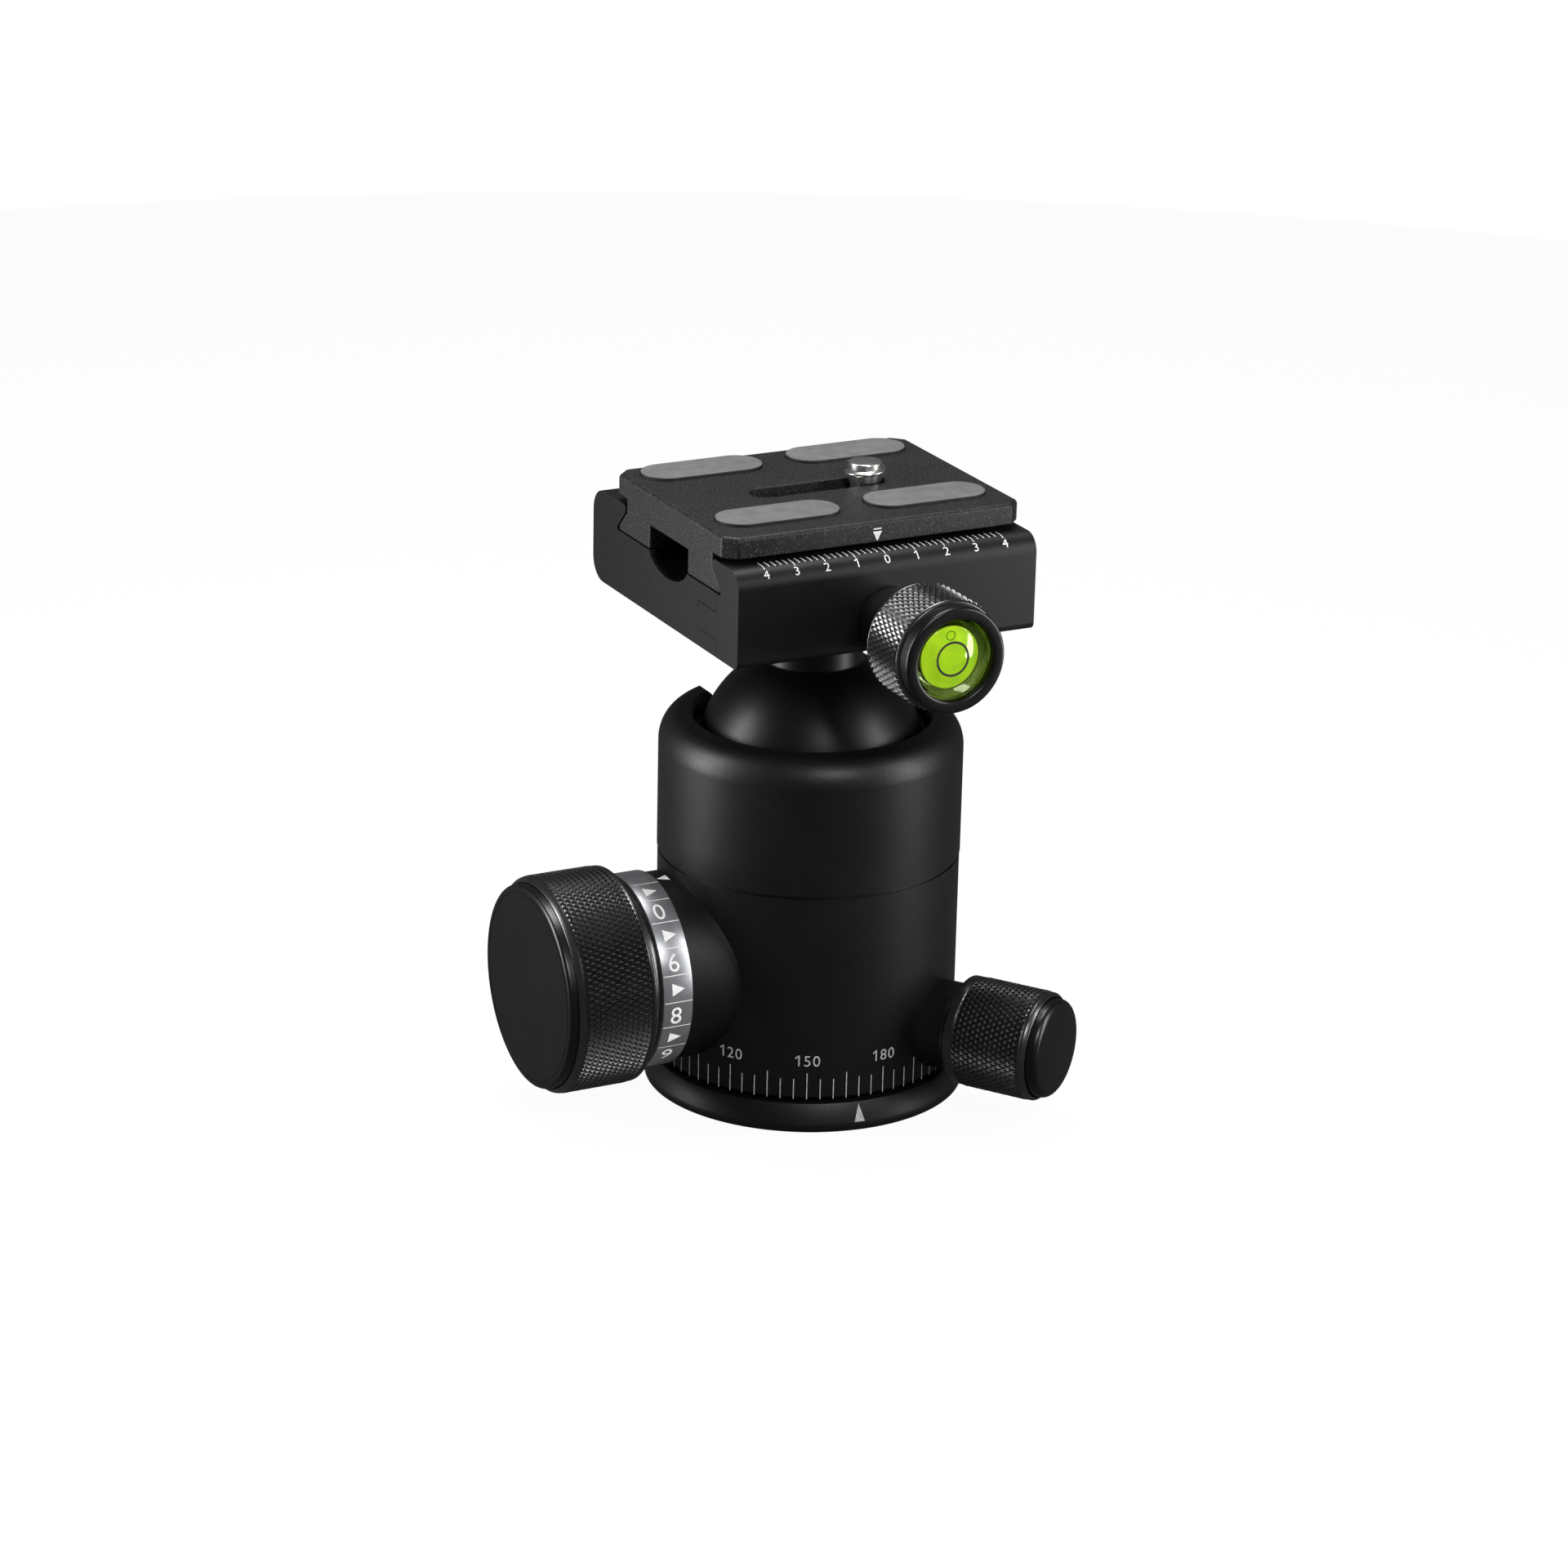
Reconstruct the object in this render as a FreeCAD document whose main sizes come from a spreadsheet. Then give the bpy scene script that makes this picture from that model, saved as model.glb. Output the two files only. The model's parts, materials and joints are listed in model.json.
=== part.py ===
import FreeCAD, Part
import math
import os
import Sketcher

# Tripod ball head: pan base, ball socket, two lock knobs, dovetail clamp and camera plate.
# Millimetres, +Z up, origin at the mouth of the tripod thread in the middle of the base.

# Driving sizes. A text that starts with an equals sign is worked out from other cells.
SIZES = [
    ("running_fit", 0.05), ("seat_gap", 0.1), ("slide_gap", 0.1), ("drill_allowance", 0.5),
    ("cut_overrun", 1.0),
    # pan base
    ("base_radius", 25.1), ("base_rim_height", 1.2), ("base_top_radius", 24.1), ("base_height", 4.4),
    ("axle_radius", 14.0), ("axle_height", 15.1), ("glide_inner_radius", 15.4),
    ("glide_outer_radius", 19.0), ("glide_thickness", 0.85),
    ("glide_disc_radius", "=glide_outer_radius - seat_gap"),
    ("glide_hole_radius", "=glide_inner_radius + seat_gap"),
    ("glide_floor", "=base_height + pan_gap - running_fit - glide_thickness"),
    ("bushing_radius", 6.4), ("bushing_height", 10.5), ("tripod_thread_radius", 4.7625),
    ("tripod_thread_depth", 9.5), ("bushing_slot_width", 1.4), ("bushing_slot_depth", 0.8),
    ("bushing_hole_radius", "=bushing_radius + running_fit"),
    ("pan_ring_radius", 15.9), ("pan_ring_bore", 7.0), ("pan_ring_thickness", 1.4),
    ("pan_ring_top", "=axle_height + pan_ring_thickness"),
    ("ring_screw_circle", 10.6), ("ring_screw_angle", 30.0), ("ring_screw_step", 120.0),
    ("ring_screw_radius", 1.0), ("ring_screw_length", 6.0),
    ("ring_screw_hole", "=ring_screw_radius + running_fit"),
    # housing
    ("pan_gap", 0.4), ("housing_bottom", "=base_height + pan_gap"), ("housing_radius", 23.5),
    ("housing_edge", 0.5), ("seam_height", 38.2), ("seam_groove_depth", 0.35), ("seam_groove_width", 0.5),
    ("upper_radius", 23.6), ("rim_height", 58.7), ("rim_round", 3.6), ("mouth_radius", 18.25),
    ("lip_thickness", 1.5), ("lip_bottom", "=rim_height - lip_thickness"), ("mouth_edge", 0.5),
    ("mouth_edge_radius", "=mouth_radius + mouth_edge"), ("mouth_edge_height", "=rim_height - mouth_edge"),
    ("socket_bore", 19.4), ("cup_floor", 30.2), ("cavity_radius", 16.4),
    ("ledge_height", "=axle_height - seat_gap"), ("axle_bore", "=axle_radius + running_fit"),
    ("spigot_radius", 21.2), ("spigot_height", 3.0), ("spigot_top", "=seam_height + spigot_height"),
    ("spigot_socket_radius", "=spigot_radius + running_fit"),
    ("spigot_socket_top", "=spigot_top + seat_gap"),
    ("notch_half_width", 8.6), ("notch_width", "=2 * notch_half_width"), ("notch_round", 2.6),
    ("housing_edge_radius", "=housing_radius - housing_edge"),
    ("housing_edge_top", "=housing_bottom + housing_edge"),
    ("seam_radius", "=housing_radius - seam_groove_depth"),
    ("seam_low", "=seam_height - seam_groove_width"),
    ("housing_radius_twice", "=2 * housing_radius"),
    ("notch_round_place", "=notch_half_width + notch_round"),
    ("notch_round_height", "=rim_height - notch_round"), ("cavity_height", "=cup_floor - ledge_height"),
    # ball, liners and brake
    ("collar_mouth_radius", 17.2), ("vee_root", "=cup_bottom + liner_wall"),
    ("neck_length", "=stem_top - ball_height"),
    ("ball_height", 52.8), ("ball_radius", 17.7), ("neck_radius", 7.7),
    ("stem_top", "=clamp_bottom - running_fit"),
    ("socket_radius", "=ball_radius + running_fit"), ("collar_outer", "=socket_bore - running_fit"),
    ("collar_bottom", 51.8), ("collar_height", "=lip_bottom - collar_bottom"),
    ("liner_outer", "=socket_radius + liner_wall"), ("liner_wall", 0.3), ("liner_drop", 15.2),
    ("liner_rim", "=ball_height - liner_drop"),
    ("cup_sphere", "=liner_outer + running_fit"), ("cup_radius", "=socket_bore - running_fit"),
    ("cup_bottom", 31.0), ("cup_drop", 9.8), ("cup_top", "=ball_height - cup_drop"),
    ("cup_height", "=cup_top - cup_bottom"),
    ("vee_bottom", 27.0), ("vee_depth", "=cup_bottom - vee_bottom"), ("vee_half_foot", 5.0),
    ("wedge_slope", 2.0), ("vee_half_top", "=vee_half_foot + wedge_slope * vee_depth"),
    ("wedge_half_width", 7.5), ("wedge_width", "=2 * wedge_half_width"),
    ("wedge_inner", "=vee_half_foot + seat_gap * wedge_slope"), ("wedge_outer", 12.5),
    ("wedge_clearance", 0.4),
    ("wedge_bottom", "=pan_ring_top + wedge_clearance"), ("wedge_toe", "=vee_bottom"),
    ("wedge_heel", "=vee_bottom + (wedge_outer - wedge_inner) / wedge_slope"),
    # lock knob
    ("lock_height", 21.8), ("spindle_radius", 3.5), ("spindle_hole", "=spindle_radius + running_fit"),
    ("spindle_end", 14.0), ("lock_boss_radius", 14.6), ("lock_boss_face", 26.9), ("lock_boss_root", 12.0),
    ("hub_radius", 7.95), ("ring_bore", "=hub_radius + running_fit"), ("scale_ring_radius", 15.1),
    ("scale_ring_width", 4.9), ("scale_ring_near", "=lock_boss_face + running_fit"),
    ("scale_ring_far", "=scale_ring_near + scale_ring_width"), ("hub_face", "=scale_ring_far"),
    ("scale_ring_edge", 0.15), ("scale_ring_edge_radius", "=scale_ring_radius - scale_ring_edge"),
    ("scale_ring_near_edge", "=scale_ring_near + scale_ring_edge"),
    ("scale_ring_far_edge", "=scale_ring_far - scale_ring_edge"),
    ("lock_collar_near", "=scale_ring_far + running_fit"), ("lock_collar_radius", 14.6),
    ("lock_grip_near", 33.4), ("lock_grip_far", 46.3), ("lock_grip_radius", 16.9), ("lock_grip_edge", 0.7),
    ("lock_grip_edge_radius", "=lock_grip_radius - lock_grip_edge"),
    ("lock_grip_near_edge", "=lock_grip_near + lock_grip_edge"),
    ("lock_grip_far_edge", "=lock_grip_far - lock_grip_edge"),
    ("lock_cap_radius", 15.9), ("lock_cap_face", 47.7), ("lock_cap_edge", 0.7), ("lock_cap_seat", 44.6),
    ("lock_cap_shoulder", "=lock_cap_face - lock_cap_edge"),
    ("lock_cap_face_radius", "=lock_cap_radius - lock_cap_edge"),
    ("lock_cap_pocket", "=lock_cap_radius + running_fit"),
    ("spindle_length", "=spindle_end + lock_cap_seat"),
    ("lock_boss_length", "=lock_boss_face - lock_boss_root"), ("hub_length", "=hub_face - lock_boss_root"),
    # pan knob
    ("pan_boss_length", "=pan_boss_face - pan_boss_root"), ("pan_screw_seat", "=pan_screw_near - seat_gap"),
    ("pan_knob_angle", -55.4), ("pan_height", 13.0), ("pan_boss_radius", 6.9), ("pan_boss_face", 27.3),
    ("pan_boss_root", 18.0), ("shoe_radius", 1.9), ("shoe_hole", "=shoe_radius + running_fit"),
    ("shoe_near", "=axle_radius + running_fit"), ("shoe_far", 17.7),
    ("shoe_length", "=shoe_far - shoe_near"),
    ("pan_screw_near", 18.1), ("pan_screw_radius", 3.0),
    ("pan_screw_hole", "=pan_screw_radius + running_fit"),
    ("pan_collar_near", "=pan_boss_face + seat_gap"), ("pan_collar_radius", 7.4),
    ("pan_grip_near", 32.0), ("pan_grip_far", 42.3), ("pan_grip_radius", 8.6), ("pan_grip_edge", 0.5),
    ("pan_grip_edge_radius", "=pan_grip_radius - pan_grip_edge"),
    ("pan_grip_near_edge", "=pan_grip_near + pan_grip_edge"),
    ("pan_grip_far_edge", "=pan_grip_far - pan_grip_edge"), ("pan_cap_seat", 41.0), ("pan_cap_radius", 7.9),
    ("pan_cap_pocket", "=pan_cap_radius + running_fit"), ("pan_cap_face", 44.1), ("pan_cap_edge", 1.0),
    ("pan_cap_face_radius", "=pan_cap_radius - pan_cap_edge"),
    ("pan_cap_shoulder", "=pan_cap_face - pan_cap_edge"),
    ("pan_screw_length", "=pan_cap_seat - pan_screw_near"),
    # clamp
    ("clamp_length", 50.0), ("neck_reach", 24.3), ("clamp_bottom", "=ball_height + neck_reach"),
    ("clamp_web", 9.9), ("clamp_floor", "=clamp_bottom + clamp_web"), ("rear_face", 26.6),
    ("rear_jaw_rise", 4.7), ("rear_top", "=clamp_floor + rear_jaw_rise"), ("rear_round", 3.6),
    ("front_face", 23.9), ("front_jaw_rise", 5.0), ("front_top", "=clamp_floor + front_jaw_rise"),
    ("front_round", 2.8),
    ("jaw_foot_round", 1.2), ("split_face", 16.6), ("jaw_inner", "=split_face + seat_gap"),
    ("hook_tip", 15.1), ("hook_relief", 17.9), ("hook_crown", 0.5), ("hook_side", "=hook_tip + hook_crown"),
    ("rear_hook_high", "=rear_top - hook_crown"), ("front_hook_high", "=front_top - hook_crown"),
    ("hook_low", "=flank_sum + flank_gap - hook_relief"),
    ("hook_high", "=flank_sum + flank_gap - hook_tip"),
    ("flank_gap", 0.15), ("flank_sum", "=dovetail_half_width + dovetail_edge_top"),
    ("channel_depth", 5.0), ("channel_bottom", "=clamp_floor - channel_depth"), ("channel_radius", 6.8),
    ("key_length", 5.0), ("key_reach", 6.0), ("key_rise", 2.8),
    ("key_bottom", "=clamp_bottom + key_rise"), ("key_height", 4.1),
    ("guide_radius", 1.5), ("guide_hole", "=guide_radius + running_fit"), ("guide_spacing", 15.0),
    ("guide_rise", 4.9), ("guide_height", "=clamp_bottom + guide_rise"), ("guide_outer", 21.5),
    ("guide_length", 15.0), ("spring_radius", 2.4),
    ("spring_wire", 0.5), ("spring_length", 5.0), ("spring_pocket", "=spring_radius + seat_gap"),
    ("stem_screw_radius", 3.0), ("stem_hole", "=stem_screw_radius + running_fit"),
    ("stem_screw_length", 17.2), ("stem_screw_bottom", "=stem_head_bottom - stem_screw_length"),
    ("stem_hole_bottom", "=stem_screw_bottom - drill_allowance"), ("stem_head_radius", 5.0),
    ("stem_head_hole", "=stem_head_radius + seat_gap"), ("stem_head_rise", 2.1),
    ("stem_head_bottom", "=clamp_bottom + stem_head_rise"), ("stem_head_height", 2.6),
    ("stem_key_radius", 2.0), ("stem_key_depth", 1.6),
    ("clamp_axis_rise", 4.8), ("clamp_axis", "=clamp_bottom + clamp_axis_rise"),
    ("clamp_screw_radius", 3.0), ("clamp_screw_hole", "=clamp_screw_radius + running_fit"),
    ("clamp_screw_tip", 6.2), ("clamp_collar_radius", 5.2), ("clamp_collar_near", "=front_face + seat_gap"),
    ("clamp_grip_near", 33.1), ("clamp_grip_far", 42.7), ("clamp_grip_radius", 8.75),
    ("clamp_grip_edge", 0.5),
    ("clamp_grip_edge_radius", "=clamp_grip_radius - clamp_grip_edge"),
    ("clamp_grip_near_edge", "=clamp_grip_near + clamp_grip_edge"),
    ("clamp_grip_far_edge", "=clamp_grip_far - clamp_grip_edge"),
    ("clamp_screw_length", "=vial_floor - backing_thickness - clamp_screw_tip"),
    ("bezel_radius", 8.1), ("bezel_face", 45.0), ("bezel_edge", 0.5),
    ("bezel_shoulder", "=bezel_face - bezel_edge"),
    ("bezel_face_radius", "=bezel_radius - bezel_edge"), ("window_radius", 6.2),
    ("pocket_radius", "=vial_radius + running_fit"), ("vial_radius", 6.9), ("vial_floor", 38.0),
    ("vial_top", "=bezel_lip"), ("bezel_lip", 43.9), ("backing_thickness", 0.8),
    ("backing_floor", "=vial_floor - backing_thickness"), ("vial_cavity_radius", 5.9),
    ("vial_cavity_floor", 38.6),
    ("vial_cavity_top", 42.6), ("fluid_radius", "=vial_cavity_radius - running_fit"),
    ("fluid_floor", "=vial_cavity_floor + running_fit"), ("fluid_top", "=vial_cavity_top - running_fit"),
    ("bubble_radius", 0.9), ("bubble_rise", 3.9),
    ("bubble_depth", "=fluid_top - bubble_radius - running_fit"),
    ("vial_top_radius", "=window_radius - running_fit"), ("bubble_height", "=clamp_axis + bubble_rise"),
    ("stem_key_floor", "=stem_head_bottom + stem_head_height - stem_key_depth"),
    ("stem_shank_length", "=stem_screw_length"),
    ("clamp_screw_end", "=clamp_screw_tip - seat_gap"),
    ("guide_hole_length", "=guide_length - guide_outer + split_face + drill_allowance"),
    ("spring_pocket_length", "=spring_length + seat_gap"), ("spring_near", "=split_face"),
    ("spring_bore", "=spring_radius - spring_wire"), ("jaw_step", "=clamp_floor"),
    ("channel_axis", "=channel_bottom + channel_radius"),
    ("channel_overrun", "=clamp_length / 2 + cut_overrun"),
    ("channel_length", "=2 * channel_overrun"),
    # camera plate
    ("washer_top", "=washer_bottom + washer_thickness"),
    ("pull_ring_bottom", "=camera_head_bottom - pull_ring_thickness - seat_gap"),
    ("plate_length", "=clamp_length - 2 * seat_gap"), ("plate_half_width", 19.7),
    ("plate_bottom", "=clamp_floor + seat_gap"),
    ("plate_thickness", 8.9), ("plate_top", "=plate_bottom + plate_thickness"), ("plate_lip", 3.3),
    ("lip_underside", "=plate_top - plate_lip"), ("dovetail_half_width", 17.4), ("dovetail_edge", 0.9),
    ("dovetail_edge_top", "=plate_bottom + dovetail_edge"), ("dovetail_depth", 2.6),
    ("waist_half_width", "=dovetail_half_width - dovetail_depth"),
    ("waist_height", "=flank_sum - waist_half_width"), ("plate_corner", 2.0), ("plate_edge", 0.4),
    ("plate_channel_half", 6.6), ("plate_channel_depth", 3.7),
    ("plate_channel_top", "=plate_bottom + plate_channel_depth"), ("slot_half_length", 11.2),
    ("slot_half_width", 2.45), ("pad_length", 19.8), ("pad_radius", 3.9), ("pad_thickness", 1.4),
    ("pad_rise", 0.55), ("pad_spacing_x", 12.4), ("pad_rear", 14.6), ("pad_front", 11.2),
    ("pad_top", "=plate_top + pad_rise"),
    ("camera_screw_x", 8.2), ("camera_thread_radius", 3.175), ("camera_thread_rise", 3.1),
    ("camera_thread_top", "=plate_top + camera_thread_rise"),
    ("camera_thread_foot", "=plate_top + seat_gap"),
    ("camera_neck_radius", 2.3), ("camera_head_radius", 5.6), ("camera_head_height", 3.5),
    ("camera_head_bottom", "=camera_head_top - camera_head_height"),
    ("camera_head_play", 0.35), ("camera_head_top", "=washer_bottom - camera_head_play"),
    ("camera_thread_edge", 0.5),
    ("camera_thread_tip", "=camera_thread_radius - camera_thread_edge"),
    ("camera_thread_shoulder", "=camera_thread_top - camera_thread_edge"),
    ("washer_radius", 5.0), ("washer_bore", "=camera_neck_radius + running_fit"), ("washer_thickness", 0.6),
    ("washer_bottom", "=plate_channel_top - washer_thickness - running_fit"),
    ("ring_wire", 0.65), ("ring_span", 4.4),
    ("pull_ring_thickness", "=2 * ring_wire"), ("pull_ring_outer", "=ring_span + ring_wire"),
    ("pull_ring_eye", "=ring_span - ring_wire"),
]

LEFT = FreeCAD.Vector(-1, 0, 0)
RIGHT = FreeCAD.Vector(1, 0, 0)
FRONT = FreeCAD.Vector(0, -1, 0)
BACK = FreeCAD.Vector(0, 1, 0)

doc = FreeCAD.newDocument("BallHead")
sheet = doc.addObject("Spreadsheet::Sheet", "Sizes")
nodes = []


def fill_sheet():
    for row, (alias, entry) in enumerate(SIZES, start=1):
        sheet.set("A%d" % row, alias)
        sheet.set("B%d" % row, entry if isinstance(entry, str) else repr(entry))
        sheet.setAlias("B%d" % row, alias)
    doc.recompute()


def size(alias):
    """Number in the cell, negated where the alias has a minus sign."""
    if alias == "0":
        return 0.0
    if alias.startswith("-"):
        return -float(sheet.get(alias[1:]))
    return float(sheet.get(alias))


def cell(alias):
    if alias == "0":
        return "0"
    if alias.startswith("-"):
        return "-Sizes." + alias[1:]
    return "Sizes." + alias


def outline(body, role, corners):
    """Closed sketch through corners whose coordinates are cells of the sheet."""
    plane = next(item for item in body.Origin.OriginFeatures if item.Role == role)
    sketch = body.newObject("Sketcher::SketchObject", body.Name + "Outline")
    sketch.AttachmentSupport = [(plane, "")]
    sketch.MapMode = "FlatFace"
    places = [FreeCAD.Vector(size(across), size(up), 0) for across, up in corners]
    for index, start in enumerate(places):
        sketch.addGeometry(Part.LineSegment(start, places[(index + 1) % len(places)]), False)
    for index in range(len(places)):
        sketch.addConstraint(Sketcher.Constraint("Coincident", index, 2, (index + 1) % len(places), 1))
    for index, (across, up) in enumerate(corners):
        pin_coordinate(sketch, "DistanceX", index, across, -2)
        pin_coordinate(sketch, "DistanceY", index, up, -1)
    return sketch


def pin_coordinate(sketch, kind, index, alias, axis):
    if alias == "0":
        sketch.addConstraint(Sketcher.Constraint("PointOnObject", index, 1, axis))
        return
    number = sketch.addConstraint(Sketcher.Constraint(kind, -1, 1, index, 1, size(alias)))
    sketch.setExpression("Constraints[%d]" % number, cell(alias))


def revolved(label, corners):
    """Body turned about its own Z axis from an outline of radius and height."""
    body = doc.addObject("PartDesign::Body", label)
    body.Label = label
    profile = outline(body, "XZ_Plane", corners)
    turn = body.newObject("PartDesign::Revolution", label + "Turn")
    turn.Profile = profile
    turn.ReferenceAxis = (profile, ["V_Axis"])
    turn.Angle = 360
    profile.Visibility = False
    return body


def extruded(label, corners, length, role="YZ_Plane"):
    """Body pushed out both ways from the middle plane."""
    body = doc.addObject("PartDesign::Body", label)
    body.Label = label
    profile = outline(body, role, corners)
    pad = body.newObject("PartDesign::Pad", label + "Pad")
    pad.Profile = profile
    pad.SideType = "Symmetric"
    pad.setExpression("Length", cell(length))
    return body


def rounded(body, radius, wanted):
    """Fillet of the edges whose middle passes the test."""
    doc.recompute()
    base = body.Tip
    names = edges_where(base.Shape, wanted)
    fillet = body.newObject("PartDesign::Fillet", body.Name + "Fillet")
    fillet.Base = (base, names)
    fillet.setExpression("Radius", cell(radius))
    return fillet


def chamfered(body, width, wanted):
    """Chamfer of the edges whose middle passes the test."""
    doc.recompute()
    base = body.Tip
    chamfer = body.newObject("PartDesign::Chamfer", body.Name + "Chamfer")
    chamfer.Base = (base, edges_where(base.Shape, wanted))
    chamfer.setExpression("Size", cell(width))
    return chamfer


def edges_where(shape, wanted):
    names = []
    for number, edge in enumerate(shape.Edges, start=1):
        first, last = edge.ParameterRange
        if wanted(edge.valueAt((first + last) / 2), edge):
            names.append("Edge%d" % number)
    if not names:
        raise RuntimeError("no edge to round")
    return names


def near(number, alias):
    return abs(number - size(alias)) < 1e-4


def seat(thing, x="0", y="0", z="0", toward=None):
    """Placement tied to the sheet, turned so that the piece's own Z points toward a direction."""
    turn = FreeCAD.Rotation(FreeCAD.Vector(0, 0, 1), toward) if toward else FreeCAD.Rotation()
    thing.Placement = FreeCAD.Placement(FreeCAD.Vector(size(x), size(y), size(z)), turn)
    for axis, alias in (("x", x), ("y", y), ("z", z)):
        if alias != "0":
            thing.setExpression("Placement.Base." + axis, cell(alias))
    return thing


def cylinder(label, radius, height, x="0", y="0", z="0", toward=None):
    thing = doc.addObject("Part::Cylinder", label)
    thing.setExpression("Radius", cell(radius))
    thing.setExpression("Height", cell(height))
    return seat(thing, x, y, z, toward)


def sphere(label, radius, z):
    thing = doc.addObject("Part::Sphere", label)
    thing.setExpression("Radius", cell(radius))
    return seat(thing, z=z)


def box(label, length, width, height, x, y, z):
    """Box from its lowest corner; sizes and corner are expressions on the sheet."""
    thing = doc.addObject("Part::Box", label)
    for name, text in (("Length", length), ("Width", width), ("Height", height)):
        thing.setExpression(name, text)
    for axis, text in (("x", x), ("y", y), ("z", z)):
        thing.setExpression("Placement.Base." + axis, text)
    return thing


def cut(label, base, *tools):
    return combined("Part::Cut", label, base, tools)


def combined(kind, label, base, tools):
    result = doc.addObject(kind, label)
    result.Base = base
    result.Tool = tools[0] if len(tools) == 1 else fused(label + "Tools", *tools)
    return result


def fused(label, *things):
    result = doc.addObject("Part::MultiFuse", label)
    result.Shapes = list(things)
    return result


def group(label, things):
    """Separate solids of one node."""
    result = doc.addObject("Part::Compound", label)
    result.Links = list(things)
    return result


def node(thing, label):
    thing.Label = label
    nodes.append(thing)
    return thing


# Pan base

def build_base():
    body = revolved("BaseBody", [
        ("0", "0"), ("base_radius", "0"), ("base_radius", "base_rim_height"),
        ("base_top_radius", "base_height"), ("glide_outer_radius", "base_height"),
        ("glide_outer_radius", "glide_floor"), ("glide_inner_radius", "glide_floor"),
        ("glide_inner_radius", "base_height"), ("axle_radius", "base_height"),
        ("axle_radius", "axle_height"), ("0", "axle_height")])
    hole = cylinder("BushingHole", "bushing_hole_radius", "bushing_height")
    pits = [ring_screw_cylinder("RingScrewPit%d" % turn, "ring_screw_hole", turn) for turn in range(3)]
    node(cut("BaseCut", body, hole, *pits), "pan_base")
    build_bushing()
    ring_holes = [ring_screw_cylinder("RingScrewHole%d" % turn, "ring_screw_hole", turn) for turn in range(3)]
    ring = revolved("PanRingBody", [
        ("pan_ring_bore", "axle_height"), ("pan_ring_radius", "axle_height"),
        ("pan_ring_radius", "pan_ring_top"), ("pan_ring_bore", "pan_ring_top")])
    node(cut("PanRingCut", ring, *ring_holes), "pan_retaining_ring")
    screws = [ring_screw_cylinder("RingScrew%d" % turn, "ring_screw_radius", turn) for turn in range(3)]
    node(group("RingScrews", screws), "pan_ring_screws")
    glide = cylinder("GlideDisc", "glide_disc_radius", "glide_thickness", z="glide_floor")
    hole = cylinder("GlideHole", "glide_hole_radius", "glide_thickness", z="glide_floor")
    node(cut("GlideCut", glide, hole), "pan_glide_ring")


def ring_screw_cylinder(label, radius, turn):
    angle = math.radians(size("ring_screw_angle") + size("ring_screw_step") * turn)
    thing = doc.addObject("Part::Cylinder", label)
    thing.setExpression("Radius", cell(radius))
    thing.setExpression("Height", "Sizes.ring_screw_length")
    thing.setExpression("Placement.Base.x", "Sizes.ring_screw_circle * %r" % math.cos(angle))
    thing.setExpression("Placement.Base.y", "Sizes.ring_screw_circle * %r" % math.sin(angle))
    thing.setExpression("Placement.Base.z", "Sizes.pan_ring_top - Sizes.ring_screw_length")
    return thing


def build_bushing():
    barrel = cylinder("BushingBarrel", "bushing_radius", "bushing_height")
    bore = cylinder("BushingBore", "tripod_thread_radius", "tripod_thread_depth")
    slot = box("BushingSlot", "2 * Sizes.bushing_radius", "Sizes.bushing_slot_width", "Sizes.bushing_slot_depth",
               "-Sizes.bushing_radius", "-Sizes.bushing_slot_width / 2", "0")
    node(cut("BushingCut", barrel, bore, slot), "tripod_bushing")


# Housing

def notch_cutter(label):
    """Slot for the neck at a right angle, with its upper corners rounded outwards."""
    floor = cylinder(label + "Floor", "notch_half_width", "housing_radius_twice", z="ball_height", toward=BACK)
    slot = box(label + "Slot", "Sizes.notch_width", "2 * Sizes.housing_radius", "Sizes.housing_radius",
               "-Sizes.notch_half_width", "0", "Sizes.ball_height")
    flare = box(label + "Flare", "Sizes.notch_width + 2 * Sizes.notch_round", "2 * Sizes.housing_radius",
                "2 * Sizes.notch_round", "-Sizes.notch_half_width - Sizes.notch_round", "0",
                "Sizes.rim_height - Sizes.notch_round")
    rounds = [cylinder(label + "Round" + side, "notch_round", "housing_radius_twice", x=place,
                       z="notch_round_height", toward=BACK)
              for side, place in (("Left", "-notch_round_place"), ("Right", "notch_round_place"))]
    return fused(label, floor, slot, cut(label + "FlareCut", flare, *rounds))


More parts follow.
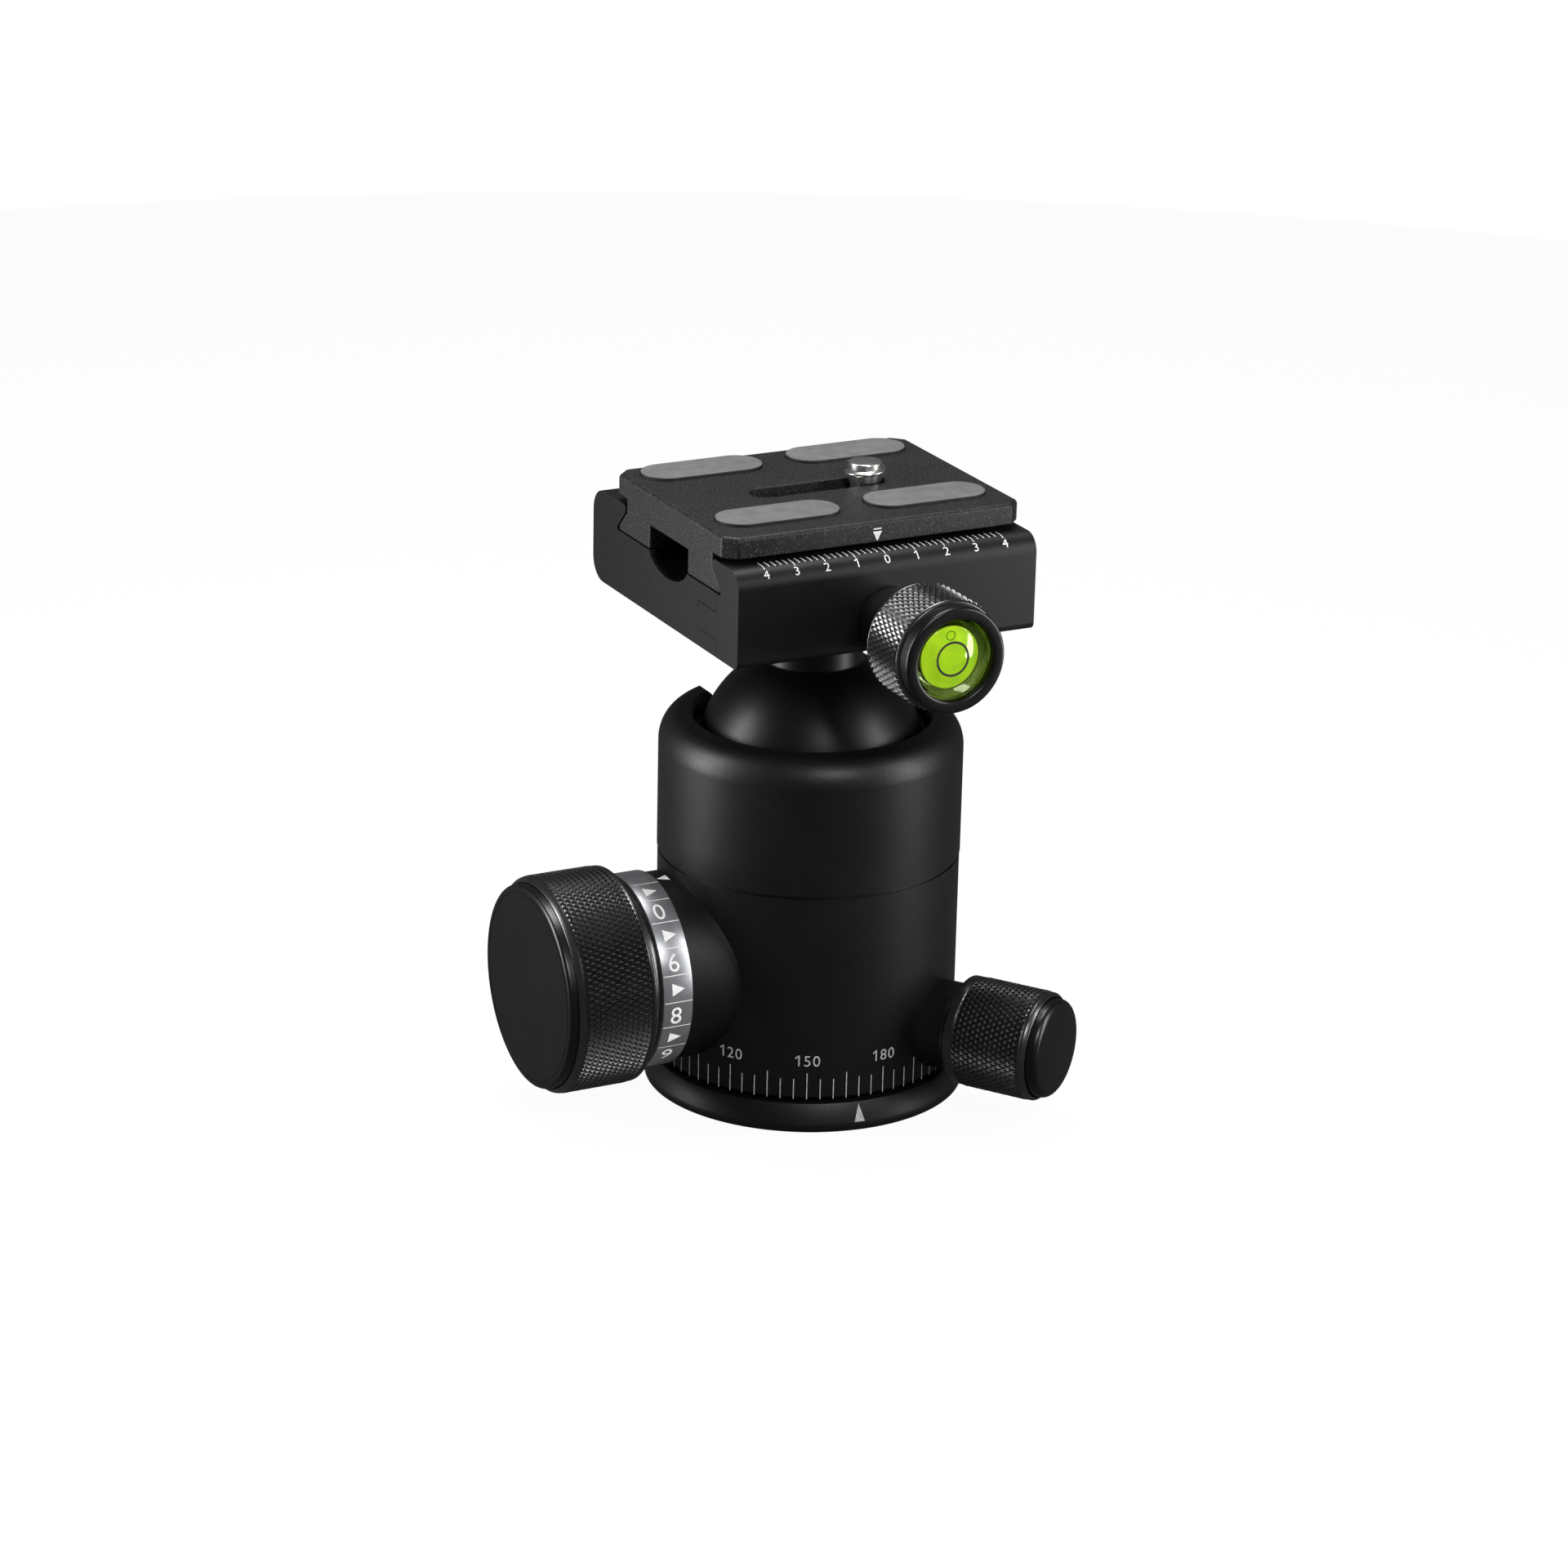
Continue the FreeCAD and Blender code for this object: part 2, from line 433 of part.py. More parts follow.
def build_housing():
    wall = revolved("LowerBody", [
        ("axle_bore", "housing_bottom"), ("housing_edge_radius", "housing_bottom"),
        ("housing_radius", "housing_edge_top"), ("housing_radius", "seam_low"), ("seam_radius", "seam_low"),
        ("seam_radius", "seam_height"), ("spigot_radius", "seam_height"), ("spigot_radius", "spigot_top"),
        ("socket_bore", "spigot_top"), ("socket_bore", "cup_floor"), ("cavity_radius", "cup_floor"),
        ("cavity_radius", "ledge_height"), ("axle_bore", "ledge_height")])
    boss = cylinder("LockBoss", "lock_boss_radius", "lock_boss_length", x="-lock_boss_root", z="lock_height",
                    toward=LEFT)
    hub = cylinder("LockHub", "hub_radius", "hub_length", x="-lock_boss_root", z="lock_height", toward=LEFT)
    pan_boss = along_pan(cylinder("PanBoss", "pan_boss_radius", "pan_boss_length"), "pan_boss_root")
    cavity = cylinder("Cavity", "cavity_radius", "cavity_height", z="ledge_height")
    socket = cylinder("SocketBore", "socket_bore", "housing_radius", z="cup_floor")
    core = cylinder("AxleBore", "axle_bore", "ledge_height")
    spindle_hole = cylinder("SpindleHole", "spindle_hole", "spindle_length", z="lock_height", toward=LEFT)
    shoe_hole = along_pan(cylinder("ShoeHole", "shoe_hole", "pan_screw_near"), "0")
    screw_hole = along_pan(cylinder("PanScrewHole", "pan_screw_hole", "pan_screw_length"), "pan_screw_seat")
    node(cut("LowerCut", fused("LowerFuse", wall, boss, hub, pan_boss), cavity, socket, core, spindle_hole, shoe_hole,
             screw_hole), "lower_housing")
    upper = revolved("UpperBody", [
        ("spigot_socket_radius", "seam_height"), ("upper_radius", "seam_height"), ("upper_radius", "rim_height"),
        ("mouth_edge_radius", "rim_height"), ("mouth_radius", "mouth_edge_height"),
        ("mouth_radius", "lip_bottom"), ("socket_bore", "lip_bottom"),
        ("socket_bore", "spigot_socket_top"), ("spigot_socket_radius", "spigot_socket_top")])
    rounded(upper, "rim_round", lambda mid, edge: near(mid.z, "rim_height")
            and near(math.hypot(mid.x, mid.y), "upper_radius"))
    node(cut("UpperCut", upper, notch_cutter("UpperNotch")), "upper_housing")
    collar = cylinder("CollarBlank", "collar_outer", "collar_height", z="collar_bottom")
    node(cut("CollarCut", collar, sphere("CollarSphere", "socket_radius", "ball_height"),
             cylinder("CollarMouth", "collar_mouth_radius", "collar_height", z="collar_bottom"),
             notch_cutter("CollarNotch")), "socket_collar")


def along_pan(thing, start):
    """Lay a piece along the pan knob's axis, from a distance off the pan axis."""
    angle = math.radians(size("pan_knob_angle"))
    way = FreeCAD.Vector(math.cos(angle), math.sin(angle), 0)
    thing.Placement = FreeCAD.Placement(way * size(start) + FreeCAD.Vector(0, 0, size("pan_height")),
                                        FreeCAD.Rotation(FreeCAD.Vector(0, 0, 1), way))
    thing.setExpression("Placement.Base.z", "Sizes.pan_height")
    if start != "0":
        thing.setExpression("Placement.Base.x", cell(start) + " * cos(Sizes.pan_knob_angle * 1 deg)")
        thing.setExpression("Placement.Base.y", cell(start) + " * sin(Sizes.pan_knob_angle * 1 deg)")
    return thing


# Brake inside the housing

def build_brake():
    cup = cylinder("CupBlank", "cup_radius", "cup_height", z="cup_bottom")
    vee = extruded("VeeBody", [
        ("-vee_half_foot", "vee_bottom"), ("vee_half_foot", "vee_bottom"), ("vee_half_top", "cup_bottom"),
        ("vee_half_top", "vee_root"), ("-vee_half_top", "vee_root"), ("-vee_half_top", "cup_bottom")],
        "wedge_width", role="XZ_Plane")
    node(cut("CupCut", fused("CupFuse", cup, vee), sphere("CupSphere", "cup_sphere", "ball_height")), "brake_cup")
    for label, side in (("lock_wedge_near", "-"), ("lock_wedge_far", "")):
        block = extruded(label + "Body", [
            (side + "wedge_inner", "wedge_bottom"), (side + "wedge_outer", "wedge_bottom"),
            (side + "wedge_outer", "wedge_heel"), (side + "wedge_inner", "wedge_toe")],
            "wedge_width", role="XZ_Plane")
        hole = cylinder(label + "Hole", "spindle_hole", "cavity_radius", z="lock_height",
                        toward=LEFT if side else RIGHT)
        node(cut(label + "Cut", block, hole), label)
    shoe = along_pan(cylinder("PanShoe", "shoe_radius", "shoe_length"), "shoe_near")
    node(shoe, "pan_brake_shoe")
    shell = cut("LinerShell", sphere("LinerOuter", "liner_outer", "ball_height"),
                sphere("LinerInner", "socket_radius", "ball_height"))
    keep = cylinder("LinerKeep", "liner_outer", "liner_rim", z="0")
    liner = combined("Part::Common", "LinerCommon", shell, [keep])
    node(liner, "friction_liner")


# Knobs. Their own Z runs along the axis, outwards from the middle of the head.

def build_lock_knob():
    grip = revolved("LockGripBody", [
        ("spindle_radius", "lock_collar_near"), ("lock_collar_radius", "lock_collar_near"),
        ("lock_collar_radius", "lock_grip_near"), ("lock_grip_edge_radius", "lock_grip_near"),
        ("lock_grip_radius", "lock_grip_near_edge"), ("lock_grip_radius", "lock_grip_far_edge"),
        ("lock_grip_edge_radius", "lock_grip_far"), ("lock_cap_pocket", "lock_grip_far"),
        ("lock_cap_pocket", "lock_cap_seat"), ("spindle_radius", "lock_cap_seat")])
    node(seat(grip, z="lock_height", toward=LEFT), "lock_knob_grip")
    cap = revolved("LockCapBody", [
        ("0", "lock_cap_seat"), ("lock_cap_radius", "lock_cap_seat"), ("lock_cap_radius", "lock_cap_shoulder"),
        ("lock_cap_face_radius", "lock_cap_face"), ("0", "lock_cap_face")])
    node(seat(cap, z="lock_height", toward=LEFT), "lock_knob_cap")
    spindle = cylinder("Spindle", "spindle_radius", "spindle_length", x="spindle_end", z="lock_height", toward=LEFT)
    node(spindle, "lock_spindle")
    ring = revolved("ScaleRingBody", [
        ("ring_bore", "scale_ring_near"), ("scale_ring_edge_radius", "scale_ring_near"),
        ("scale_ring_radius", "scale_ring_near_edge"), ("scale_ring_radius", "scale_ring_far_edge"),
        ("scale_ring_edge_radius", "scale_ring_far"), ("ring_bore", "scale_ring_far")])
    node(seat(ring, z="lock_height", toward=LEFT), "friction_scale_ring")


def build_pan_knob():
    grip = revolved("PanGripBody", [
        ("pan_screw_radius", "pan_collar_near"), ("pan_collar_radius", "pan_collar_near"),
        ("pan_collar_radius", "pan_grip_near"), ("pan_grip_edge_radius", "pan_grip_near"),
        ("pan_grip_radius", "pan_grip_near_edge"), ("pan_grip_radius", "pan_grip_far_edge"),
        ("pan_grip_edge_radius", "pan_grip_far"), ("pan_cap_pocket", "pan_grip_far"),
        ("pan_cap_pocket", "pan_cap_seat"), ("pan_screw_radius", "pan_cap_seat")])
    node(along_pan(grip, "0"), "pan_knob_grip")
    cap = revolved("PanCapBody", [
        ("0", "pan_cap_seat"), ("pan_cap_radius", "pan_cap_seat"), ("pan_cap_radius", "pan_cap_shoulder"),
        ("pan_cap_face_radius", "pan_cap_face"), ("0", "pan_cap_face")])
    node(along_pan(cap, "0"), "pan_knob_cap")
    node(along_pan(cylinder("PanScrew", "pan_screw_radius", "pan_screw_length"), "pan_screw_near"),
         "pan_lock_screw")


def build_clamp_knob():
    grip = revolved("ClampGripBody", [
        ("clamp_screw_radius", "clamp_collar_near"), ("clamp_collar_radius", "clamp_collar_near"),
        ("clamp_collar_radius", "clamp_grip_near"), ("clamp_grip_edge_radius", "clamp_grip_near"),
        ("clamp_grip_radius", "clamp_grip_near_edge"), ("clamp_grip_radius", "clamp_grip_far_edge"),
        ("clamp_grip_edge_radius", "clamp_grip_far"), ("pocket_radius", "clamp_grip_far"),
        ("pocket_radius", "backing_floor"), ("clamp_screw_radius", "backing_floor")])
    bezel = revolved("BezelBody", [
        ("window_radius", "bezel_lip"), ("vial_radius", "bezel_lip"), ("vial_radius", "clamp_grip_far"),
        ("bezel_radius", "clamp_grip_far"), ("bezel_radius", "bezel_shoulder"),
        ("bezel_face_radius", "bezel_face"), ("window_radius", "bezel_face")])
    vial = revolved("VialBody", [
        ("0", "vial_floor"), ("vial_radius", "vial_floor"), ("vial_radius", "clamp_grip_far"),
        ("vial_top_radius", "clamp_grip_far"), ("vial_top_radius", "vial_top"), ("0", "vial_top"),
        ("0", "vial_cavity_top"), ("vial_cavity_radius", "vial_cavity_top"),
        ("vial_cavity_radius", "vial_cavity_floor"), ("0", "vial_cavity_floor")])
    fluid = revolved("FluidBody", [
        ("0", "fluid_floor"), ("fluid_radius", "fluid_floor"), ("fluid_radius", "fluid_top"), ("0", "fluid_top")])
    backing = revolved("BackingBody", [
        ("0", "backing_floor"), ("vial_radius", "backing_floor"), ("vial_radius", "vial_floor"),
        ("0", "vial_floor")])
    for body in (grip, bezel, vial, fluid, backing):
        seat(body, z="clamp_axis", toward=FRONT)
    node(grip, "clamp_knob_grip")
    node(bezel, "level_bezel")
    node(vial, "level_vial")
    bubble = sphere("BubbleBlank", "bubble_radius", "bubble_height")
    bubble.Placement = FreeCAD.Placement(FreeCAD.Vector(0, -size("bubble_depth"), size("bubble_height")),
                                         FreeCAD.Rotation())
    bubble.setExpression("Placement.Base.y", "-Sizes.bubble_depth")
    bubble.setExpression("Placement.Base.z", "Sizes.bubble_height")
    node(cut("FluidCut", fluid, bubble), "level_fluid")
    node(backing, "level_backing")
    screw = cylinder("ClampScrew", "clamp_screw_radius", "clamp_screw_length", y="-clamp_screw_tip",
                     z="clamp_axis", toward=FRONT)
    node(screw, "clamp_screw")


# Ball and clamp

def build_ball():
    ball = sphere("BallBlank", "ball_radius", "ball_height")
    neck = cylinder("NeckBlank", "neck_radius", "neck_length", z="ball_height")
    hole = cylinder("StemHole", "stem_hole", "clamp_bottom", z="stem_hole_bottom")
    node(cut("BallCut", fused("BallFuse", ball, neck), hole), "ball_stem")
    shank = cylinder("StemShank", "stem_screw_radius", "stem_shank_length", z="stem_screw_bottom")
    head = cylinder("StemHead", "stem_head_radius", "stem_head_height", z="stem_head_bottom")
    key = cylinder("StemKey", "stem_key_radius", "stem_head_height", z="stem_key_floor")
    node(cut("StemScrewCut", fused("StemScrewFuse", shank, head), key), "stem_screw")


def guide_pins(label, radius, length, start):
    return [cylinder(label + name, radius, length, x=place, y=start, z="guide_height", toward=BACK)
            for name, place in (("Left", "-guide_spacing"), ("Right", "guide_spacing"))]


def key_boxes(label, grow):
    """End keys that steer the moving jaw, or their recesses where grow names a clearance."""
    boxes = []
    for side in (-1, 1):
        corner = "-Sizes.clamp_length / 2 - %s" % grow if side < 0 else (
            "Sizes.clamp_length / 2 - Sizes.key_length - %s" % grow)
        boxes.append(box("%s%d" % (label, side + 1), "Sizes.key_length + 2 * %s" % grow,
                         "Sizes.key_reach + Sizes.seat_gap + 2 * %s" % grow,
                         "Sizes.key_height + 2 * %s" % grow, corner,
                         "-Sizes.jaw_inner - %s" % grow, "Sizes.key_bottom - %s" % grow))
    return boxes


def build_clamp():
    body = extruded("ClampBody", [
        ("-split_face", "clamp_bottom"), ("rear_face", "clamp_bottom"), ("rear_face", "rear_top"),
        ("hook_side", "rear_top"), ("hook_tip", "rear_hook_high"), ("hook_tip", "hook_high"),
        ("hook_relief", "hook_low"), ("hook_relief", "clamp_floor"), ("-split_face", "clamp_floor")],
        "clamp_length")
    rounded(body, "rear_round", lambda mid, edge: near(mid.y, "rear_face") and near(mid.x, "0"))
    channel = cylinder("ChannelRound", "channel_radius", "channel_length", x="-channel_overrun",
                       z="channel_axis", toward=RIGHT)
    floor = box("ChannelKeep", "Sizes.channel_length", "2 * Sizes.channel_radius", "Sizes.channel_radius",
                "-Sizes.channel_overrun", "-Sizes.channel_radius", "Sizes.channel_axis")
    head_hole = cylinder("StemHeadHole", "stem_head_hole", "clamp_floor", z="stem_head_bottom")
    shank_hole = cylinder("StemShankHole", "stem_hole", "clamp_floor", z="stem_hole_bottom")
    screw_hole = cylinder("ClampScrewHole", "clamp_screw_hole", "front_face", y="-clamp_screw_end",
                          z="clamp_axis", toward=FRONT)
    node(cut("ClampCut", body, channel, floor, head_hole, shank_hole, screw_hole,
             *guide_pins("GuideHole", "guide_hole", "guide_hole_length", "-split_face"),
             *guide_pins("SpringPocket", "spring_pocket", "spring_pocket_length", "-split_face"),
             *key_boxes("KeyRecess", "Sizes.slide_gap")), "clamp_body")
    jaw = extruded("JawBody", [
        ("-jaw_inner", "clamp_bottom"), ("-jaw_inner", "jaw_step"), ("-hook_relief", "jaw_step"),
        ("-hook_relief", "hook_low"), ("-hook_tip", "hook_high"), ("-hook_tip", "front_hook_high"),
        ("-hook_side", "front_top"), ("-front_face", "front_top"), ("-front_face", "clamp_bottom")],
        "clamp_length")
    rounded(jaw, "front_round", lambda mid, edge: near(mid.y, "-front_face") and near(mid.z, "front_top"))
    rounded(jaw, "jaw_foot_round", lambda mid, edge: near(mid.y, "-front_face") and near(mid.z, "clamp_bottom"))
    hole = cylinder("JawHole", "clamp_screw_hole", "front_face", z="clamp_axis", toward=FRONT)
    node(cut("JawCut", fused("JawFuse", jaw, *key_boxes("Key", "0")), hole,
             *guide_pins("JawPinHole", "guide_radius", "guide_length", "-guide_outer")), "clamp_jaw")
    node(group("GuidePins", guide_pins("GuidePin", "guide_radius", "guide_length", "-guide_outer")),
         "jaw_guide_pins")
    springs = [cut("Spring%d" % number, outer, inner) for number, (outer, inner) in enumerate(zip(
        guide_pins("SpringOuter", "spring_radius", "spring_length", "-spring_near"),
        guide_pins("SpringInner", "spring_bore", "spring_length", "-spring_near")))]
    node(group("JawSprings", springs), "jaw_springs")


# Camera plate

def stadium(label, x, y, z, length, radius, height):
    """Flat pad with half-round ends, from expressions."""
    bar = box(label + "Bar", "%s - 2 * %s" % (length, radius), "2 * " + radius, height,
              "%s - %s / 2 + %s" % (x, length, radius), "%s - %s" % (y, radius), z)
    ends = []
    for side in ("-", "+"):
        end = doc.addObject("Part::Cylinder", label + ("Near" if side == "-" else "Far"))
        end.setExpression("Radius", radius)
        end.setExpression("Height", height)
        end.setExpression("Placement.Base.x", "%s %s (%s / 2 - %s)" % (x, side, length, radius))
        end.setExpression("Placement.Base.y", y)
        end.setExpression("Placement.Base.z", z)
        ends.append(end)
    return fused(label, bar, *ends)


def pad_shapes(label, gap):
    """Four rubber pads, or their pockets where gap names a clearance."""
    places = [("Sizes.pad_spacing_x", "Sizes.pad_rear"), ("-Sizes.pad_spacing_x", "Sizes.pad_rear"),
              ("Sizes.pad_spacing_x", "-Sizes.pad_front"), ("-Sizes.pad_spacing_x", "-Sizes.pad_front")]
    return [stadium("%s%d" % (label, number), x, y, "Sizes.pad_top - Sizes.pad_thickness",
                    "(Sizes.pad_length + 2 * %s)" % gap, "(Sizes.pad_radius + %s)" % gap, "Sizes.pad_thickness")
            for number, (x, y) in enumerate(places)]


def build_plate():
    plate = extruded("PlateBody", [
        ("-plate_channel_half", "plate_bottom"), ("-dovetail_half_width", "plate_bottom"),
        ("-dovetail_half_width", "dovetail_edge_top"), ("-waist_half_width", "waist_height"),
        ("-waist_half_width", "lip_underside"), ("-plate_half_width", "lip_underside"),
        ("-plate_half_width", "plate_top"), ("plate_half_width", "plate_top"),
        ("plate_half_width", "lip_underside"), ("waist_half_width", "lip_underside"),
        ("waist_half_width", "waist_height"), ("dovetail_half_width", "dovetail_edge_top"),
        ("dovetail_half_width", "plate_bottom"), ("plate_channel_half", "plate_bottom"),
        ("plate_channel_half", "plate_channel_top"), ("-plate_channel_half", "plate_channel_top")],
        "plate_length")
    chamfered(plate, "plate_corner", lambda mid, edge: near(2 * abs(mid.x), "plate_length")
              and near(abs(mid.y), "plate_half_width")
              and near(edge.Length + size("lip_underside"), "plate_top"))
    chamfered(plate, "plate_edge", lambda mid, edge: near(mid.z, "plate_top"))
    slot = stadium("ScrewSlot", "0", "0", "Sizes.plate_channel_top", "(2 * Sizes.slot_half_length)",
                   "Sizes.slot_half_width", "Sizes.plate_top - Sizes.plate_channel_top")
    node(cut("PlateCut", plate, slot, *pad_shapes("PadPocket", "0")), "quick_release_plate")
    node(group("Pads", pad_shapes("Pad", "0")), "rubber_pads")


def build_camera_screw():
    screw = revolved("CameraScrewBody", [
        ("0", "camera_head_bottom"), ("camera_head_radius", "camera_head_bottom"),
        ("camera_head_radius", "camera_head_top"), ("camera_neck_radius", "camera_head_top"),
        ("camera_neck_radius", "camera_thread_foot"), ("camera_thread_radius", "camera_thread_foot"),
        ("camera_thread_radius", "camera_thread_shoulder"), ("camera_thread_tip", "camera_thread_top"),
        ("0", "camera_thread_top")])
    seat(screw, x="camera_screw_x")
    node(screw, "camera_screw")
    washer = revolved("WasherBody", [
        ("washer_bore", "washer_bottom"), ("washer_radius", "washer_bottom"), ("washer_radius", "washer_top"),
        ("washer_bore", "washer_top")])
    node(seat(washer, x="camera_screw_x"), "screw_washer")
    node(build_pull_ring(), "screw_pull_ring")


def build_pull_ring():
    """Folded bail under the screw's head: a half ring closed by a bar."""
    disc = cylinder("PullRingDisc", "pull_ring_outer", "pull_ring_thickness", x="camera_screw_x",
                    z="pull_ring_bottom")
    eye = cylinder("PullRingEye", "pull_ring_eye", "pull_ring_thickness", x="camera_screw_x",
                   z="pull_ring_bottom")
    keep = box("PullRingKeep", "Sizes.pull_ring_outer", "2 * Sizes.pull_ring_outer",
               "Sizes.pull_ring_thickness", "Sizes.camera_screw_x", "-Sizes.pull_ring_outer",
               "Sizes.pull_ring_bottom")
    bar = box("PullRingBar", "2 * Sizes.ring_wire", "2 * Sizes.ring_span", "Sizes.pull_ring_thickness",
              "Sizes.camera_screw_x - Sizes.ring_wire", "-Sizes.ring_span", "Sizes.pull_ring_bottom")
    half = combined("Part::Common", "PullRingHalf", cut("PullRingCut", disc, eye), [keep])
    return fused("PullRingFuse", half, bar)


def check_and_export():
    doc.recompute()
    for thing in doc.Objects:
        if "Invalid" in thing.State or "Error" in thing.State:
            raise RuntimeError("failed object: " + thing.Name)
    for thing in nodes:
        if thing.Shape.isNull() or not thing.Shape.isValid():
            raise RuntimeError("bad shape: " + thing.Label)
    os.makedirs("parts", exist_ok=True)
    for thing in nodes:
        thing.Shape.exportStep(os.path.join("parts", thing.Label + ".step"))
        limits = thing.Shape.BoundBox
        print("%-22s solids %d volume %9.1f  x %.1f %.1f  y %.1f %.1f  z %.1f %.1f" % (
            thing.Label, len(thing.Shape.Solids), thing.Shape.Volume, limits.XMin, limits.XMax,
            limits.YMin, limits.YMax, limits.ZMin, limits.ZMax))


fill_sheet()
build_base()
build_housing()
build_brake()
build_lock_knob()
build_pan_knob()
build_ball()
build_clamp()
build_clamp_knob()
build_plate()
build_camera_screw()
check_and_export()
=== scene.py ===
"""Tripod ball head: its turned, milled and knurled pieces, their finishes, the studio and the camera."""

import json
import logging
import math
from dataclasses import dataclass, field
from enum import Enum
from typing import Callable, Optional, Sequence, Union

import bmesh
import bpy
from mathutils import Matrix, Vector

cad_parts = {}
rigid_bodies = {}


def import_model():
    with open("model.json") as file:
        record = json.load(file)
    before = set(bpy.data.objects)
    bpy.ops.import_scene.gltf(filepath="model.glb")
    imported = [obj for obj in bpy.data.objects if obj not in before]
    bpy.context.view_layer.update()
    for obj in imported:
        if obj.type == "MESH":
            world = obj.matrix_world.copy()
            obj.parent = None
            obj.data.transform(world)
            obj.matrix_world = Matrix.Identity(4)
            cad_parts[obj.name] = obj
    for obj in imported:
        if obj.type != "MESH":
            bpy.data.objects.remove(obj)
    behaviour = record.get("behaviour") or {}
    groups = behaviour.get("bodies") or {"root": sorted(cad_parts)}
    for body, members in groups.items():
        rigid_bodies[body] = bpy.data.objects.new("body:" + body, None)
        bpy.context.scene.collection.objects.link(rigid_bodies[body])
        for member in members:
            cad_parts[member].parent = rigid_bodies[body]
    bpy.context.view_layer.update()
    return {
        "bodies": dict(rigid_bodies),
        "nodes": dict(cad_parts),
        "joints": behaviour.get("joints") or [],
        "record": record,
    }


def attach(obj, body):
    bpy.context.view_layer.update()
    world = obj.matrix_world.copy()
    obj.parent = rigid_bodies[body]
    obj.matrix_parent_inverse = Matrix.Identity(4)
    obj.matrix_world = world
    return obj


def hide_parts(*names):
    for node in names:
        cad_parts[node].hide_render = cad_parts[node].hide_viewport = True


LOG = logging.getLogger("ball_head")
MM = 0.001
SEGMENTS = 160
# How far a printed mark stands off its surface, in mm.
PROUD = 0.02
# Spans of a noise's value: over patches of colour, over the painted glints of single bright grains and over
# the gloss.
PATCH_SPAN = (0.35, 0.65)
PAINTED_GLINT_SPAN = (0.58, 0.7)
GLOSS_SPAN = (0.3, 0.7)
# Socket numbers of a Mix node for colours, whose socket names repeat.
SHARE, FIRST, SECOND, MIXED = 0, 6, 7, 2
Outline = Sequence[tuple[float, float]]
SocketValue = Union[float, tuple]


class Slot(Enum):
    """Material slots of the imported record."""

    BLACK = "black_anodised"
    BALL = "ball_anodised"
    RING = "ring_anodised"
    PLAIN = "plain_aluminium"
    STEEL = "steel"
    BEARING = "bearing_plastic"
    RUBBER = "grey_rubber"
    ACRYLIC = "clear_acrylic"
    FLUID = "green_fluid"
    WHITE = "white_plastic"


def linear(code: str) -> tuple[float, float, float, float]:
    """Turns an sRGB hex colour to linear light.

    Args:
        code: colour such as "#1a1b1d".

    Returns:
        Red, green, blue and an alpha of one.
    """
    channels = [int(code[place:place + 2], 16) / 255 for place in (1, 3, 5)]
    red, green, blue = [c / 12.92 if c <= 0.04045 else ((c + 0.055) / 1.055) ** 2.4 for c in channels]
    return red, green, blue, 1.0


def add_node(tree: bpy.types.NodeTree, kind: str, sockets: Optional[dict] = None,
             links: Optional[dict] = None, **settings: object) -> bpy.types.Node:
    """Adds one node with its settings, its socket values and what feeds it.

    Args:
        tree: node tree that gets the node.
        kind: Blender's name of the node type.
        sockets: values by socket name or number.
        links: feeding sockets by socket name or number.
        settings: the node's own properties.

    Returns:
        The new node.
    """
    node = tree.nodes.new(kind)
    for key, value in settings.items():
        setattr(node, key, value)
    for key, value in (sockets or {}).items():
        node.inputs[key].default_value = value
    for key, source in (links or {}).items():
        tree.links.new(source, node.inputs[key])
    return node


@dataclass(frozen=True)
class Lathe:
    """Fine turning marks round an axis.

    Attributes:
        centre: a point of the axis, in mm.
        axis: X, Y or Z.
        pitch: feed of the tool from ring to ring, in mm.
        depth: depth of a ring, in mm.
    """

    centre: tuple[float, float, float]
    axis: str
    pitch: float
    depth: float


